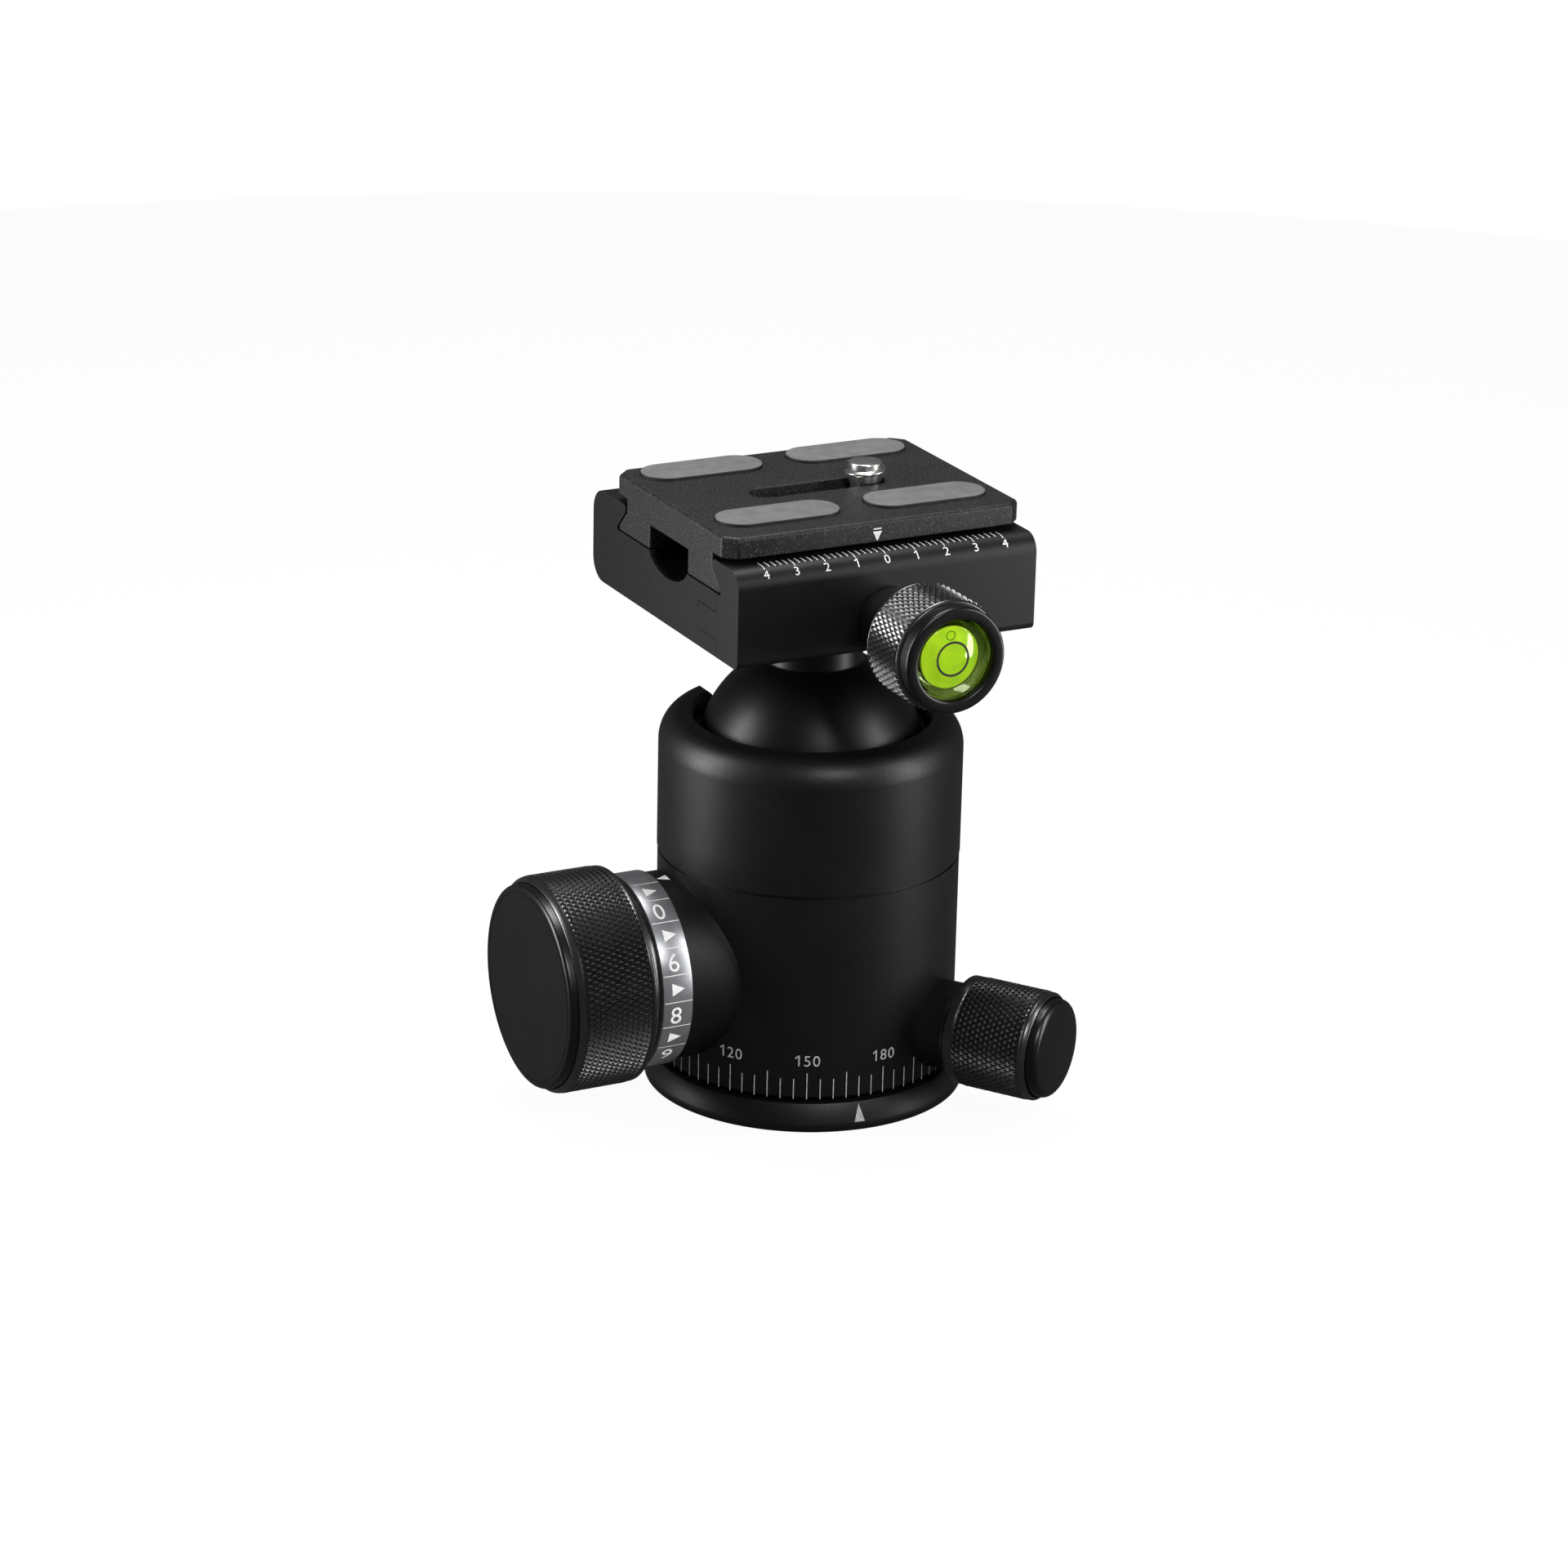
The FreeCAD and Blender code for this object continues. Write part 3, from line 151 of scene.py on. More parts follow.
@dataclass(frozen=True)
class Finish:
    """A surface: two close colours in patches, and a grain that breaks up the gloss.

    Attributes:
        name: the material's plain name.
        slot: the record's material slot that it belongs to; not used.
        dark: darker colour, sRGB hex.
        light: lighter colour, sRGB hex.
        patch: width of a colour patch, in mm.
        grain: width of a grain, in mm.
        relief: height of a grain, in mm.
        rough: lowest and highest roughness.
        metallic: metallic share.
        speck: colour of painted glints: scattered bright grains that stand in for light caught by single
            grains, or nothing.
        foot: painted shade low on a piece's sides: heights in mm between which the darker colour fades out,
            and that colour, or nothing.
        lathe: turning marks, or nothing.
        sockets: further values of the shader's own sockets.
    """

    name: str
    slot: Slot
    dark: str
    light: str
    patch: float
    grain: float
    relief: float
    rough: tuple[float, float]
    metallic: float = 0.0
    speck: str = ""
    foot: Optional[tuple[float, float, str]] = None
    lathe: Optional[Lathe] = None
    sockets: tuple[tuple[str, SocketValue], ...] = ()

    def build(self) -> bpy.types.Material:
        """Builds the material the first time it is asked for.

        Returns:
            The material.
        """
        made = bpy.data.materials.get(self.name)
        if made:
            return made
        material = bpy.data.materials.new(self.name)
        material.use_nodes = True
        tree = material.node_tree
        shader = tree.nodes["Principled BSDF"]
        place = add_node(tree, "ShaderNodeTexCoord").outputs["Object"]
        patches = add_node(tree, "ShaderNodeTexNoise", {"Scale": 1 / (self.patch * MM), "Detail": 3.0},
                           {"Vector": place}).outputs["Fac"]
        grains = add_node(tree, "ShaderNodeTexNoise", {"Scale": 1 / (self.grain * MM), "Detail": 2.0},
                          {"Vector": place}).outputs["Fac"]
        low, high = PATCH_SPAN
        share = add_node(tree, "ShaderNodeMapRange", {"From Min": low, "From Max": high}, {"Value": patches})
        colour = add_node(tree, "ShaderNodeMix", {FIRST: linear(self.dark), SECOND: linear(self.light)},
                          {SHARE: share.outputs[0]}, data_type="RGBA").outputs[MIXED]
        # Painted glints: scattered grains are lightened in the colour itself, standing in for the light they
        # catch.
        if self.speck:
            low, high = PAINTED_GLINT_SPAN
            share = add_node(tree, "ShaderNodeMapRange", {"From Min": low, "From Max": high},
                             {"Value": grains})
            colour = add_node(tree, "ShaderNodeMix", {SECOND: linear(self.speck)},
                              {SHARE: share.outputs[0], FIRST: colour}, data_type="RGBA").outputs[MIXED]
        # Painted shade: below a height the colour turns dark, standing in for the shade on the lower sides.
        if self.foot:
            low, high, code = self.foot
            height = add_node(tree, "ShaderNodeSeparateXYZ", links={0: place}).outputs["Z"]
            share = add_node(tree, "ShaderNodeMapRange", {"From Min": low * MM, "From Max": high * MM},
                             {"Value": height})
            colour = add_node(tree, "ShaderNodeMix", {FIRST: linear(code)},
                              {SHARE: share.outputs[0], SECOND: colour}, data_type="RGBA").outputs[MIXED]
        tree.links.new(colour, shader.inputs["Base Color"])
        low, high = GLOSS_SPAN
        smooth, dull = self.rough
        gloss = add_node(tree, "ShaderNodeMapRange",
                         {"From Min": low, "From Max": high, "To Min": smooth, "To Max": dull},
                         {"Value": grains})
        tree.links.new(gloss.outputs[0], shader.inputs["Roughness"])
        bump = add_node(tree, "ShaderNodeBump", {"Strength": 1.0, "Distance": self.relief * MM},
                        {"Height": grains})
        if self.lathe:
            bump = self.rings(tree, place, bump)
        tree.links.new(bump.outputs["Normal"], shader.inputs["Normal"])
        shader.inputs["Metallic"].default_value = self.metallic
        for name, value in self.sockets:
            shader.inputs[name].default_value = value
        return material

    def rings(self, tree: bpy.types.NodeTree, place: bpy.types.NodeSocket,
              under: bpy.types.Node) -> bpy.types.Node:
        """Adds turning marks over a bump.

        Args:
            tree: the material's node tree.
            place: Object coordinates.
            under: bump of the grain.

        Returns:
            The bump that holds both.
        """
        shift = tuple(-value * MM for value in self.lathe.centre)
        centred = add_node(tree, "ShaderNodeMapping", {"Location": shift}, {"Vector": place})
        # A wave's bands are 2 pi / 20 of a unit apart at a scale of one.
        scale = math.tau / (20 * self.lathe.pitch * MM)
        wave = add_node(tree, "ShaderNodeTexWave", {"Scale": scale, "Distortion": 0.4},
                        {"Vector": centred.outputs["Vector"]}, wave_type="RINGS",
                        rings_direction=self.lathe.axis)
        return add_node(tree, "ShaderNodeBump", {"Strength": 1.0, "Distance": self.lathe.depth * MM},
                        {"Height": wave.outputs["Fac"], "Normal": under.outputs["Normal"]})


# Aluminium, bead blasted and dyed black: an even satin that spreads a lamp into a wide soft band.
# The blast's own pits are about 0.05 mm, too fine to show, so the grain is drawn at 0.22 mm.
BLACK = Finish("black_bead_blasted_aluminium", Slot.BLACK, "#050506", "#080809", 9.0, 0.22, 0.007, (0.4, 0.5),
               sockets=(("Specular IOR Level", 0.34),))
# The plate's upper face: the same dye over a coarser blast, with painted glints: scattered bright grains in
# its colour stand in for single grains catching the light.
PLATE = Finish("black_coarse_blasted_aluminium", Slot.BLACK, "#0c0c0d", "#131314", 7.0, 0.3, 0.03,
               (0.42, 0.62), speck="#3c3c3e", sockets=(("Specular IOR Level", 0.36),))
# Turned caps: smoother than the body, so their edges draw thin bright lines.
# Their turning marks are too fine to show, so the grain is drawn at 0.16 mm.
CAP = Finish("black_turned_aluminium", Slot.BLACK, "#040404", "#070708", 6.0, 0.16, 0.002, (0.26, 0.36),
             sockets=(("Specular IOR Level", 0.35),))
# Knurls: cut after blasting, so each diamond's facets are smooth and glint one by one.
KNURL = Finish("black_knurled_aluminium", Slot.BLACK, "#0b0b0c", "#111112", 3.0, 0.12, 0.002, (0.24, 0.32),
               sockets=(("Specular IOR Level", 1.0),))
# The ball: ground and dyed, a shade finer than the body, with soft round highlights.
BALL = Finish("black_ground_aluminium", Slot.BALL, "#030303", "#050506", 12.0, 0.2, 0.004, (0.36, 0.44),
              sockets=(("Specular IOR Level", 0.24),))
# The numbered ring: silver anodising with fine turning marks round the axis.
# The tool's real feed is about 0.1 mm, too fine to show, so the marks are drawn at 0.25 mm.
RING = Finish("silver_anodised_aluminium", Slot.RING, "#8c8d90", "#9c9da0", 4.0, 0.2, 0.002, (0.3, 0.42),
              metallic=0.8, lathe=Lathe((0.0, 0.0, 21.8), "X", 0.25, 0.0008))
# Milled aluminium left bare: bright, with a light mill grain.
PLAIN = Finish("machined_aluminium", Slot.PLAIN, "#b4b6b8", "#c6c8ca", 3.0, 0.2, 0.003, (0.25, 0.4),
               metallic=1.0)
# Stainless screws: hard bright reflections with faint turning marks.
STEEL = Finish("turned_stainless_steel", Slot.STEEL, "#c9c9c6", "#dededb", 2.0, 0.1, 0.001, (0.22, 0.34),
               metallic=1.0)
# Filled acetal bearings: dark, dull and slightly waxy.
BEARING = Finish("dark_acetal", Slot.BEARING, "#0c0c0c", "#151515", 2.0, 0.15, 0.003, (0.45, 0.6))
# Moulded rubber: mid grey and dull with a fine pebbled skin. Painted shade: the lower part of each pad's side
# is painted near black, standing in for the shade there, which draws a dark outline.
RUBBER = Finish("grey_moulded_rubber", Slot.RUBBER, "#565657", "#616162", 2.5, 0.25, 0.012, (0.62, 0.8),
                foot=(96.36, 96.44, "#040404"))
# Engravings filled with white paint, dull and a little uneven.
PRINT = Finish("white_engraving_paint", Slot.BLACK, "#c4c4c4", "#dadada", 0.6, 0.1, 0.002, (0.5, 0.7))
# The degree scale: the same paint laid thin, so the black shows through as grey.
THIN_PRINT = Finish("thin_white_engraving_paint", Slot.BLACK, "#868686", "#a0a0a0", 0.6, 0.1, 0.002,
                    (0.5, 0.7))
# The level's target circle: black paint with a soft sheen.
BLACK_PRINT = Finish("black_level_paint", Slot.ACRYLIC, "#0b0c08", "#14150f", 0.6, 0.1, 0.001, (0.4, 0.5))
# Clear acrylic: sees through to the spirit, with sharp reflections on its wall.
ACRYLIC = Finish("cast_acrylic", Slot.ACRYLIC, "#eaf7cf", "#f6ffe4", 4.0, 1.0, 0.0004, (0.0, 0.02),
                 sockets=(("Transmission Weight", 1.0), ("IOR", 1.49)))
# Dyed spirit in the level, with a painted glow: an even emission that stands in for the light that comes
# through the spirit.
FLUID = Finish("yellow_green_level_spirit", Slot.FLUID, "#8fc83a", "#cfe636", 4.5, 1.0, 0.0004, (0.06, 0.12),
               sockets=(("Emission Color", linear("#b4d62c")), ("Emission Strength", 0.6)))
# The bubble's skin: a thin rim a little darker than the spirit, with a faint painted glow from its emission.
BUBBLE = Finish("level_bubble_skin", Slot.FLUID, "#5e8f1c", "#6fa023", 1.0, 0.3, 0.0004, (0.05, 0.1),
                sockets=(("Emission Color", linear("#5e8f1c")), ("Emission Strength", 0.12)))
# The level's backing: white plastic, tinted by the light that comes through the spirit.
WHITE = Finish("white_level_backing", Slot.WHITE, "#cfdf8c", "#dde8a0", 2.0, 0.3, 0.002, (0.5, 0.6))


def washer(inner: float, outer: float, low: float, high: float) -> Outline:
    """Gives the outline of a flat ring."""
    return [(inner, low), (outer, low), (outer, high), (inner, high)]


def placed(u: float, v: float, turn: float) -> Matrix:
    """Gives the matrix that turns flat marks by some degrees and then moves them to u, v."""
    return Matrix.Translation((u, v, 0.0)) @ Matrix.Rotation(math.radians(turn), 4, "Z")


def along(way: Vector, start: Vector) -> Matrix:
    """Gives the matrix that stands a lathe's axis along a level direction.

    Args:
        way: direction of the axis, level and of length one.
        start: where the lathe's zero goes, in mm.

    Returns:
        Matrix with the lathe's X upwards and its Z along the way.
    """
    up = Vector((0.0, 0.0, 1.0))
    side = way.cross(up)
    turn = Matrix((up, side, way)).transposed().to_4x4()
    return Matrix.Translation(start) @ turn


def above(level: float, reach: float = 0.0) -> Callable[[bmesh.types.BMEdge], bool]:
    """Gives a test for edges over a level and beyond a reach from Z, in mm."""
    return lambda edge: all(vert.co.z > level and vert.co.xy.length > reach for vert in edge.verts)


class Shape:
    """A bmesh worked in millimetres, then dressed and hung on its CAD body."""

    def __init__(self, bm: Optional[bmesh.types.BMesh] = None) -> None:
        """Starts with a bmesh that is handed over, or with nothing."""
        self.bm = bmesh.new() if bm is None else bm

    def lathe(self, outline: Outline, closed: bool = True, segments: int = SEGMENTS) -> "Shape":
        """Turns an outline of radius and height round Z.

        Args:
            outline: corners of the half section, in mm.
            closed: whether the last corner joins the first.
            segments: steps of the turn.

        Returns:
            This shape.
        """
        corners = [self.bm.verts.new((radius, 0.0, height)) for radius, height in outline]
        pairs = list(zip(corners, corners[1:]))
        if closed:
            pairs.append((corners[-1], corners[0]))
        edges = [self.bm.edges.new(pair) for pair in pairs]
        bmesh.ops.spin(self.bm, geom=corners + edges, cent=(0.0, 0.0, 0.0), axis=(0.0, 0.0, 1.0),
                       dvec=(0.0, 0.0, 0.0), angle=math.tau, steps=segments, use_merge=True,
                       use_normal_flip=False, use_duplicate=False)
        return self.clean()

    def clean(self) -> "Shape":
        """Merges doubles and points the faces outwards.

        Returns:
            This shape.
        """
        bmesh.ops.remove_doubles(self.bm, verts=self.bm.verts[:], dist=1e-4)
        bmesh.ops.dissolve_degenerate(self.bm, edges=self.bm.edges[:], dist=1e-5)
        bmesh.ops.recalc_face_normals(self.bm, faces=self.bm.faces[:])
        return self

    def from_node(self, node: bpy.types.Object) -> "Shape":
        """Takes a merged copy of a CAD node's mesh, in mm, with its flat faces whole.

        Args:
            node: the CAD node, which stays as it is.

        Returns:
            This shape.
        """
        self.bm.from_mesh(node.data)
        bmesh.ops.scale(self.bm, vec=(1 / MM,) * 3, verts=self.bm.verts[:])
        self.clean()
        bmesh.ops.dissolve_limit(self.bm, angle_limit=math.radians(0.4), use_dissolve_boundaries=False,
                                 verts=self.bm.verts[:], edges=self.bm.edges[:], delimit=set())
        return self

    def soften(self, width: float, least: float = 28.0, segments: int = 2,
               pick: Optional[Callable[[bmesh.types.BMEdge], bool]] = None) -> "Shape":
        """Bevels the sharp edges.

        Args:
            width: bevel width, in mm.
            least: smallest angle of an edge that counts as sharp, in degrees.
            segments: faces across the bevel.
            pick: test that an edge has to pass as well.

        Returns:
            This shape.
        """
        sharp = [edge for edge in self.bm.edges if len(edge.link_faces) == 2
                 and edge.calc_face_angle(0.0) > math.radians(least) and (pick is None or pick(edge))]
        bmesh.ops.bevel(self.bm, geom=sharp, offset=width, offset_type="OFFSET", segments=segments,
                        profile=0.5, affect="EDGES", material=-1, clamp_overlap=True)
        return self

    def join(self, other: bmesh.types.BMesh) -> "Shape":
        """Adds another bmesh, and frees it.

        Args:
            other: bmesh that is added.

        Returns:
            This shape.
        """
        carrier = bpy.data.meshes.new("carrier")
        other.to_mesh(carrier)
        other.free()
        self.bm.from_mesh(carrier)
        bpy.data.meshes.remove(carrier)
        return self

    def knurl(self, radius: float, near: float, far: float, cell: tuple[float, float] = (1.7, 0.95),
              depth: float = 0.32, land: float = 0.27) -> "Shape":
        """Adds a diamond-knurled band, as two crossed cutters leave it.

        A square grid is poked, its square edges are dissolved so that diamonds stay, and each
        diamond is raised to a small flat top.

        Args:
            radius: radius over the diamonds' tops, in mm.
            near: start of the band along the axis.
            far: end of the band.
            cell: a diamond's width from corner to corner, along the axis and round it.
            depth: depth of the cuts.
            land: how far a top is set in from the diamond's edge.

        Returns:
            This shape.
        """
        band = bmesh.new()
        root = radius - depth
        rows = round((far - near) / cell[0])
        around = round(math.tau * radius / cell[1])
        bmesh.ops.create_circle(band, cap_ends=False, radius=root, segments=around)
        bmesh.ops.translate(band, vec=(0.0, 0.0, near), verts=band.verts[:])
        rim = band.edges[:]
        for _ in range(rows):
            grown = bmesh.ops.extrude_edge_only(band, edges=rim)["geom"]
            fresh = {item for item in grown if isinstance(item, bmesh.types.BMVert)}
            bmesh.ops.translate(band, vec=(0.0, 0.0, (far - near) / rows), verts=list(fresh))
            rim = [edge for edge in band.edges if fresh.issuperset(edge.verts)]
        centres = set(bmesh.ops.poke(band, faces=band.faces[:])["verts"])
        square = [edge for edge in band.edges if len(edge.link_faces) == 2 and centres.isdisjoint(edge.verts)]
        bmesh.ops.dissolve_edges(band, edges=square, use_verts=False, use_face_split=False)
        bmesh.ops.recalc_face_normals(band, faces=band.faces[:])
        ends = [edge for edge in band.edges if edge.is_boundary]
        first = band.faces[:][0]
        if first.normal.dot(first.calc_center_median() * Vector((1.0, 1.0, 0.0))) < 0:
            bmesh.ops.reverse_faces(band, faces=band.faces[:])
        bmesh.ops.inset_individual(band, faces=band.faces[:], thickness=land, depth=depth,
                                   use_even_offset=True, use_interpolate=False, use_relative_offset=False)
        closing = bmesh.ops.extrude_edge_only(band, edges=ends)["geom"]
        inner = [item for item in closing if isinstance(item, bmesh.types.BMVert)]
        bmesh.ops.scale(band, vec=(1 - depth / root, 1 - depth / root, 1.0), verts=inner)
        return self.join(band)

    def move(self, matrix: Matrix) -> "Shape":
        """Moves the shape by a matrix in mm."""
        bmesh.ops.transform(self.bm, matrix=matrix, verts=self.bm.verts[:])
        return self

    def piece(self, name: str, finish: Finish, body: str, *replaces: str, slot: Optional[Slot] = None,
              smooth: float = 32.0, weigh: bool = False) -> None:
        """Turns the shape into an object that rides on a CAD body.

        Args:
            name: the object's name.
            finish: its material.
            body: CAD body that carries it.
            replaces: CAD nodes that it stands for.
            slot: the record's material slot, where it isn't the finish's own; not used.
            smooth: edges sharper than this angle stay sharp, in degrees.
            weigh: whether large faces set the shading of the narrow ones beside them.
        """
        bmesh.ops.scale(self.bm, vec=(MM,) * 3, verts=self.bm.verts[:])
        mesh = bpy.data.meshes.new(name)
        self.bm.to_mesh(mesh)
        self.bm.free()
        mesh.materials.append(finish.build())
        mesh.shade_smooth()
        mesh.set_sharp_from_angle(angle=math.radians(smooth))
        thing = bpy.data.objects.new(name, mesh)
        bpy.context.scene.collection.objects.link(thing)
        if weigh:
            thing.modifiers.new("flat_faces", "WEIGHTED_NORMAL").keep_sharp = True
        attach(thing, body)
        if replaces:
            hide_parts(*replaces)
        LOG.info("%s: %d faces on %s", name, len(mesh.polygons), body)


class Marks:
    """Flat printed marks in millimetres, u across and v up, wrapped onto a surface at the end.

    Attributes:
        PACE: distance from digit to digit, as a share of their height.
        CAP_SHARE: a digit's height as a share of the typeface's size.
    """

    PACE = 0.78
    CAP_SHARE = 0.72

    def __init__(self) -> None:
        """Starts with nothing."""
        self.bm = bmesh.new()

    def bar(self, u: float, v: float, width: float, height: float) -> "Marks":
        """Adds an upright bar.

        Args:
            u: middle of the bar, in mm.
            v: foot of the bar, in mm.
            width: its width, in mm.
            height: its height, in mm.

        Returns:
            These marks.
        """
        made = bmesh.ops.create_grid(self.bm, x_segments=1, y_segments=1, size=0.5)["verts"]
        bmesh.ops.scale(self.bm, vec=(width, height, 1.0), verts=made)
        bmesh.ops.translate(self.bm, vec=(u, v + height / 2, 0.0), verts=made)
        return self

    def wedge(self, u: float, v: float, width: float, height: float, turn: float = 0.0) -> "Marks":
        """Adds a triangle that points up before it is turned.

        Args:
            u: its middle, in mm.
            v: its middle height, in mm.
            width: width of its foot, in mm.
            height: its height, in mm.
            turn: counter-clockwise turn, in degrees.

        Returns:
            These marks.
        """
        made = bmesh.ops.create_circle(self.bm, cap_ends=True, radius=1.0, segments=3)["verts"]
        bmesh.ops.scale(self.bm, vec=(width / math.sqrt(3), height / 1.5, 1.0), verts=made)
        bmesh.ops.transform(self.bm, matrix=placed(u, v, turn), verts=made)
        return self

    def number(self, text: str, u: float, v: float, height: float, turn: float = 0.0) -> "Marks":
        """Adds a number, digit by digit.

        Args:
            text: the number.
            u: its middle, in mm.
            v: its middle height, in mm.
            height: height of a digit, in mm.
            turn: counter-clockwise turn, in degrees.

        Returns:
            These marks.
        """
        before = set(self.bm.verts)
        for order, digit in enumerate(text):
            middle = (order - (len(text) - 1) / 2) * self.PACE * height
            if digit == "1":
                self.one(middle, height)
            else:
                self.digit(digit, middle, height)
        fresh = [vert for vert in self.bm.verts if vert not in before]
        bmesh.ops.transform(self.bm, matrix=placed(u, v, turn), verts=fresh)
        return self

    def one(self, middle: float, height: float) -> None:
        """Adds a one with its slanting flag, which the plain typeface lacks.

        Args:
            middle: middle of the digit, in mm.
            height: its height, in mm.
        """
        self.bar(middle + 0.06 * height, -height / 2, 0.13 * height, height)
        flag = bmesh.ops.create_grid(self.bm, x_segments=1, y_segments=1, size=0.5)["verts"]
        bmesh.ops.scale(self.bm, vec=(0.36 * height, 0.12 * height, 1.0), verts=flag)
        lean = placed(middle - 0.11 * height, 0.32 * height, 38.0)
        bmesh.ops.transform(self.bm, matrix=lean, verts=flag)

    def digit(self, text: str, middle: float, height: float) -> None:
        """Adds one digit of the plain typeface.

        Args:
            text: the digit.
            middle: its middle, in mm.
            height: its height, in mm.
        """
        curve = bpy.data.curves.new("digit", "FONT")
        curve.body = text
        curve.size = height / self.CAP_SHARE
        curve.align_x = "CENTER"
        curve.resolution_u = 4
        carrier = bpy.data.objects.new("digit", curve)
        flat = bpy.data.meshes.new_from_object(carrier)
        before = set(self.bm.verts)
        self.bm.from_mesh(flat)
        fresh = [vert for vert in self.bm.verts if vert not in before]
        bmesh.ops.translate(self.bm, vec=(middle, -height / 2, 0.0), verts=fresh)
        bpy.data.objects.remove(carrier)
        bpy.data.curves.remove(curve)
        bpy.data.meshes.remove(flat)

    def wrap(self, surface: Callable[[float, float], Vector], step: float) -> Shape:
        """Cuts the marks into narrow strips and lays them on a surface.

        Args:
            surface: gives the place in mm of a point u, v.
            step: widest strip, in mm.

        Returns:
            The marks as a shape, faces outwards.
        """
        for way in (0, 1):
            low = min(vert.co[way] for vert in self.bm.verts)
            high = max(vert.co[way] for vert in self.bm.verts)
            normal = Vector((1.0 - way, float(way), 0.0))
            for turn in range(1, math.ceil((high - low) / step)):
                bmesh.ops.bisect_plane(self.bm, geom=self.bm.verts[:] + self.bm.edges[:] + self.bm.faces[:],
                                       plane_co=normal * (low + turn * step), plane_no=normal, dist=1e-5)
        bmesh.ops.triangulate(self.bm, faces=self.bm.faces[:])
        for face in self.bm.faces:
            if face.normal.z < 0:
                face.normal_flip()
        for vert in self.bm.verts:
            vert.co = surface(vert.co.x, vert.co.y)
        return Shape(self.bm)


def drum(matrix: Matrix, radius: float, u_round: bool = True) -> Callable[[float, float], Vector]:
    """Gives the wrapping of flat marks onto a drum.

    Args:
        matrix: the drum's own frame, its axis along Z.
        radius: the drum's radius, in mm.
        u_round: whether u, rather than v, runs round the drum.

    Returns:
        Function from u and v to a place in mm.
    """

    def place(u: float, v: float) -> Vector:
        """Lays one point on the drum."""
        around, height = (u, v) if u_round else (v, u)
        return matrix @ Matrix.Rotation(around / radius, 4, "Z") @ Vector((radius + PROUD, 0.0, height))

    return place


def carry(nodes: dict, finish: Finish, *names: str) -> None:
    """Dresses CAD nodes that stay as they are.

    Args:
        nodes: the frame's nodes by name.
        finish: their material.
        names: the nodes.
    """
    for name in names:
        mesh = nodes[name].data
        mesh.materials.clear()
        mesh.materials.append(finish.build())
        LOG.info("%s: CAD node in %s", name, finish.name)


# Lengths in the classes below are in mm, and heights start at the mouth of the tripod thread.
@dataclass
class PanBase:
    """Round foot with the pan axle, its bearing and the tripod bushing."""

    radius: float = 25.1
    rim: float = 1.2
    top_radius: float = 24.1
    height: float = 4.4
    glide: tuple[float, float, float] = (15.4, 19.0, 3.9)
    axle: tuple[float, float] = (14.0, 15.1)
    bore: float = 6.45
    edge: float = 0.22
    index_angle: float = -96.6
    index_height: float = 2.3
    index_size: tuple[float, float] = (1.7, 2.7)
    nodes: dict = field(default_factory=dict)

    def build(self) -> None:
        """Turns the foot, prints its index and dresses the bearing."""
        inner, outer, floor = self.glide
        axle_radius, axle_top = self.axle
        outline = [(self.bore, 0.0), (self.radius, 0.0), (self.radius, self.rim),
                   (self.top_radius, self.height), (outer, self.height), (outer, floor), (inner, floor),
                   (inner, self.height), (axle_radius, self.height), (axle_radius, axle_top),
                   (self.bore, axle_top)]
        Shape().lathe(outline, segments=192).soften(self.edge, least=10.0).piece(
            "foot_disc", BLACK, "base", "pan_base")
        self.print_index()
        carry(self.nodes, STEEL, "tripod_bushing", "pan_ring_screws")
        carry(self.nodes, PLAIN, "pan_retaining_ring")
        carry(self.nodes, BEARING, "pan_glide_ring")

    def print_index(self) -> None:
        """Prints the triangle that reads the degree scale."""
        slope = (self.radius - self.top_radius) / (self.height - self.rim)
        turn = Matrix.Rotation(math.radians(self.index_angle), 4, "Z")

        def cone(u: float, v: float) -> Vector:
            """Lays one point on the foot's slanting side."""
            reach = self.radius - slope * max(v - self.rim, 0.0) + PROUD * 2
            return turn @ Matrix.Rotation(u / self.radius, 4, "Z") @ Vector((reach, 0.0, v))

        Marks().wedge(0.0, self.index_height, *self.index_size).wrap(cone, 0.4).piece(
            "foot_index_print", THIN_PRINT, "base")


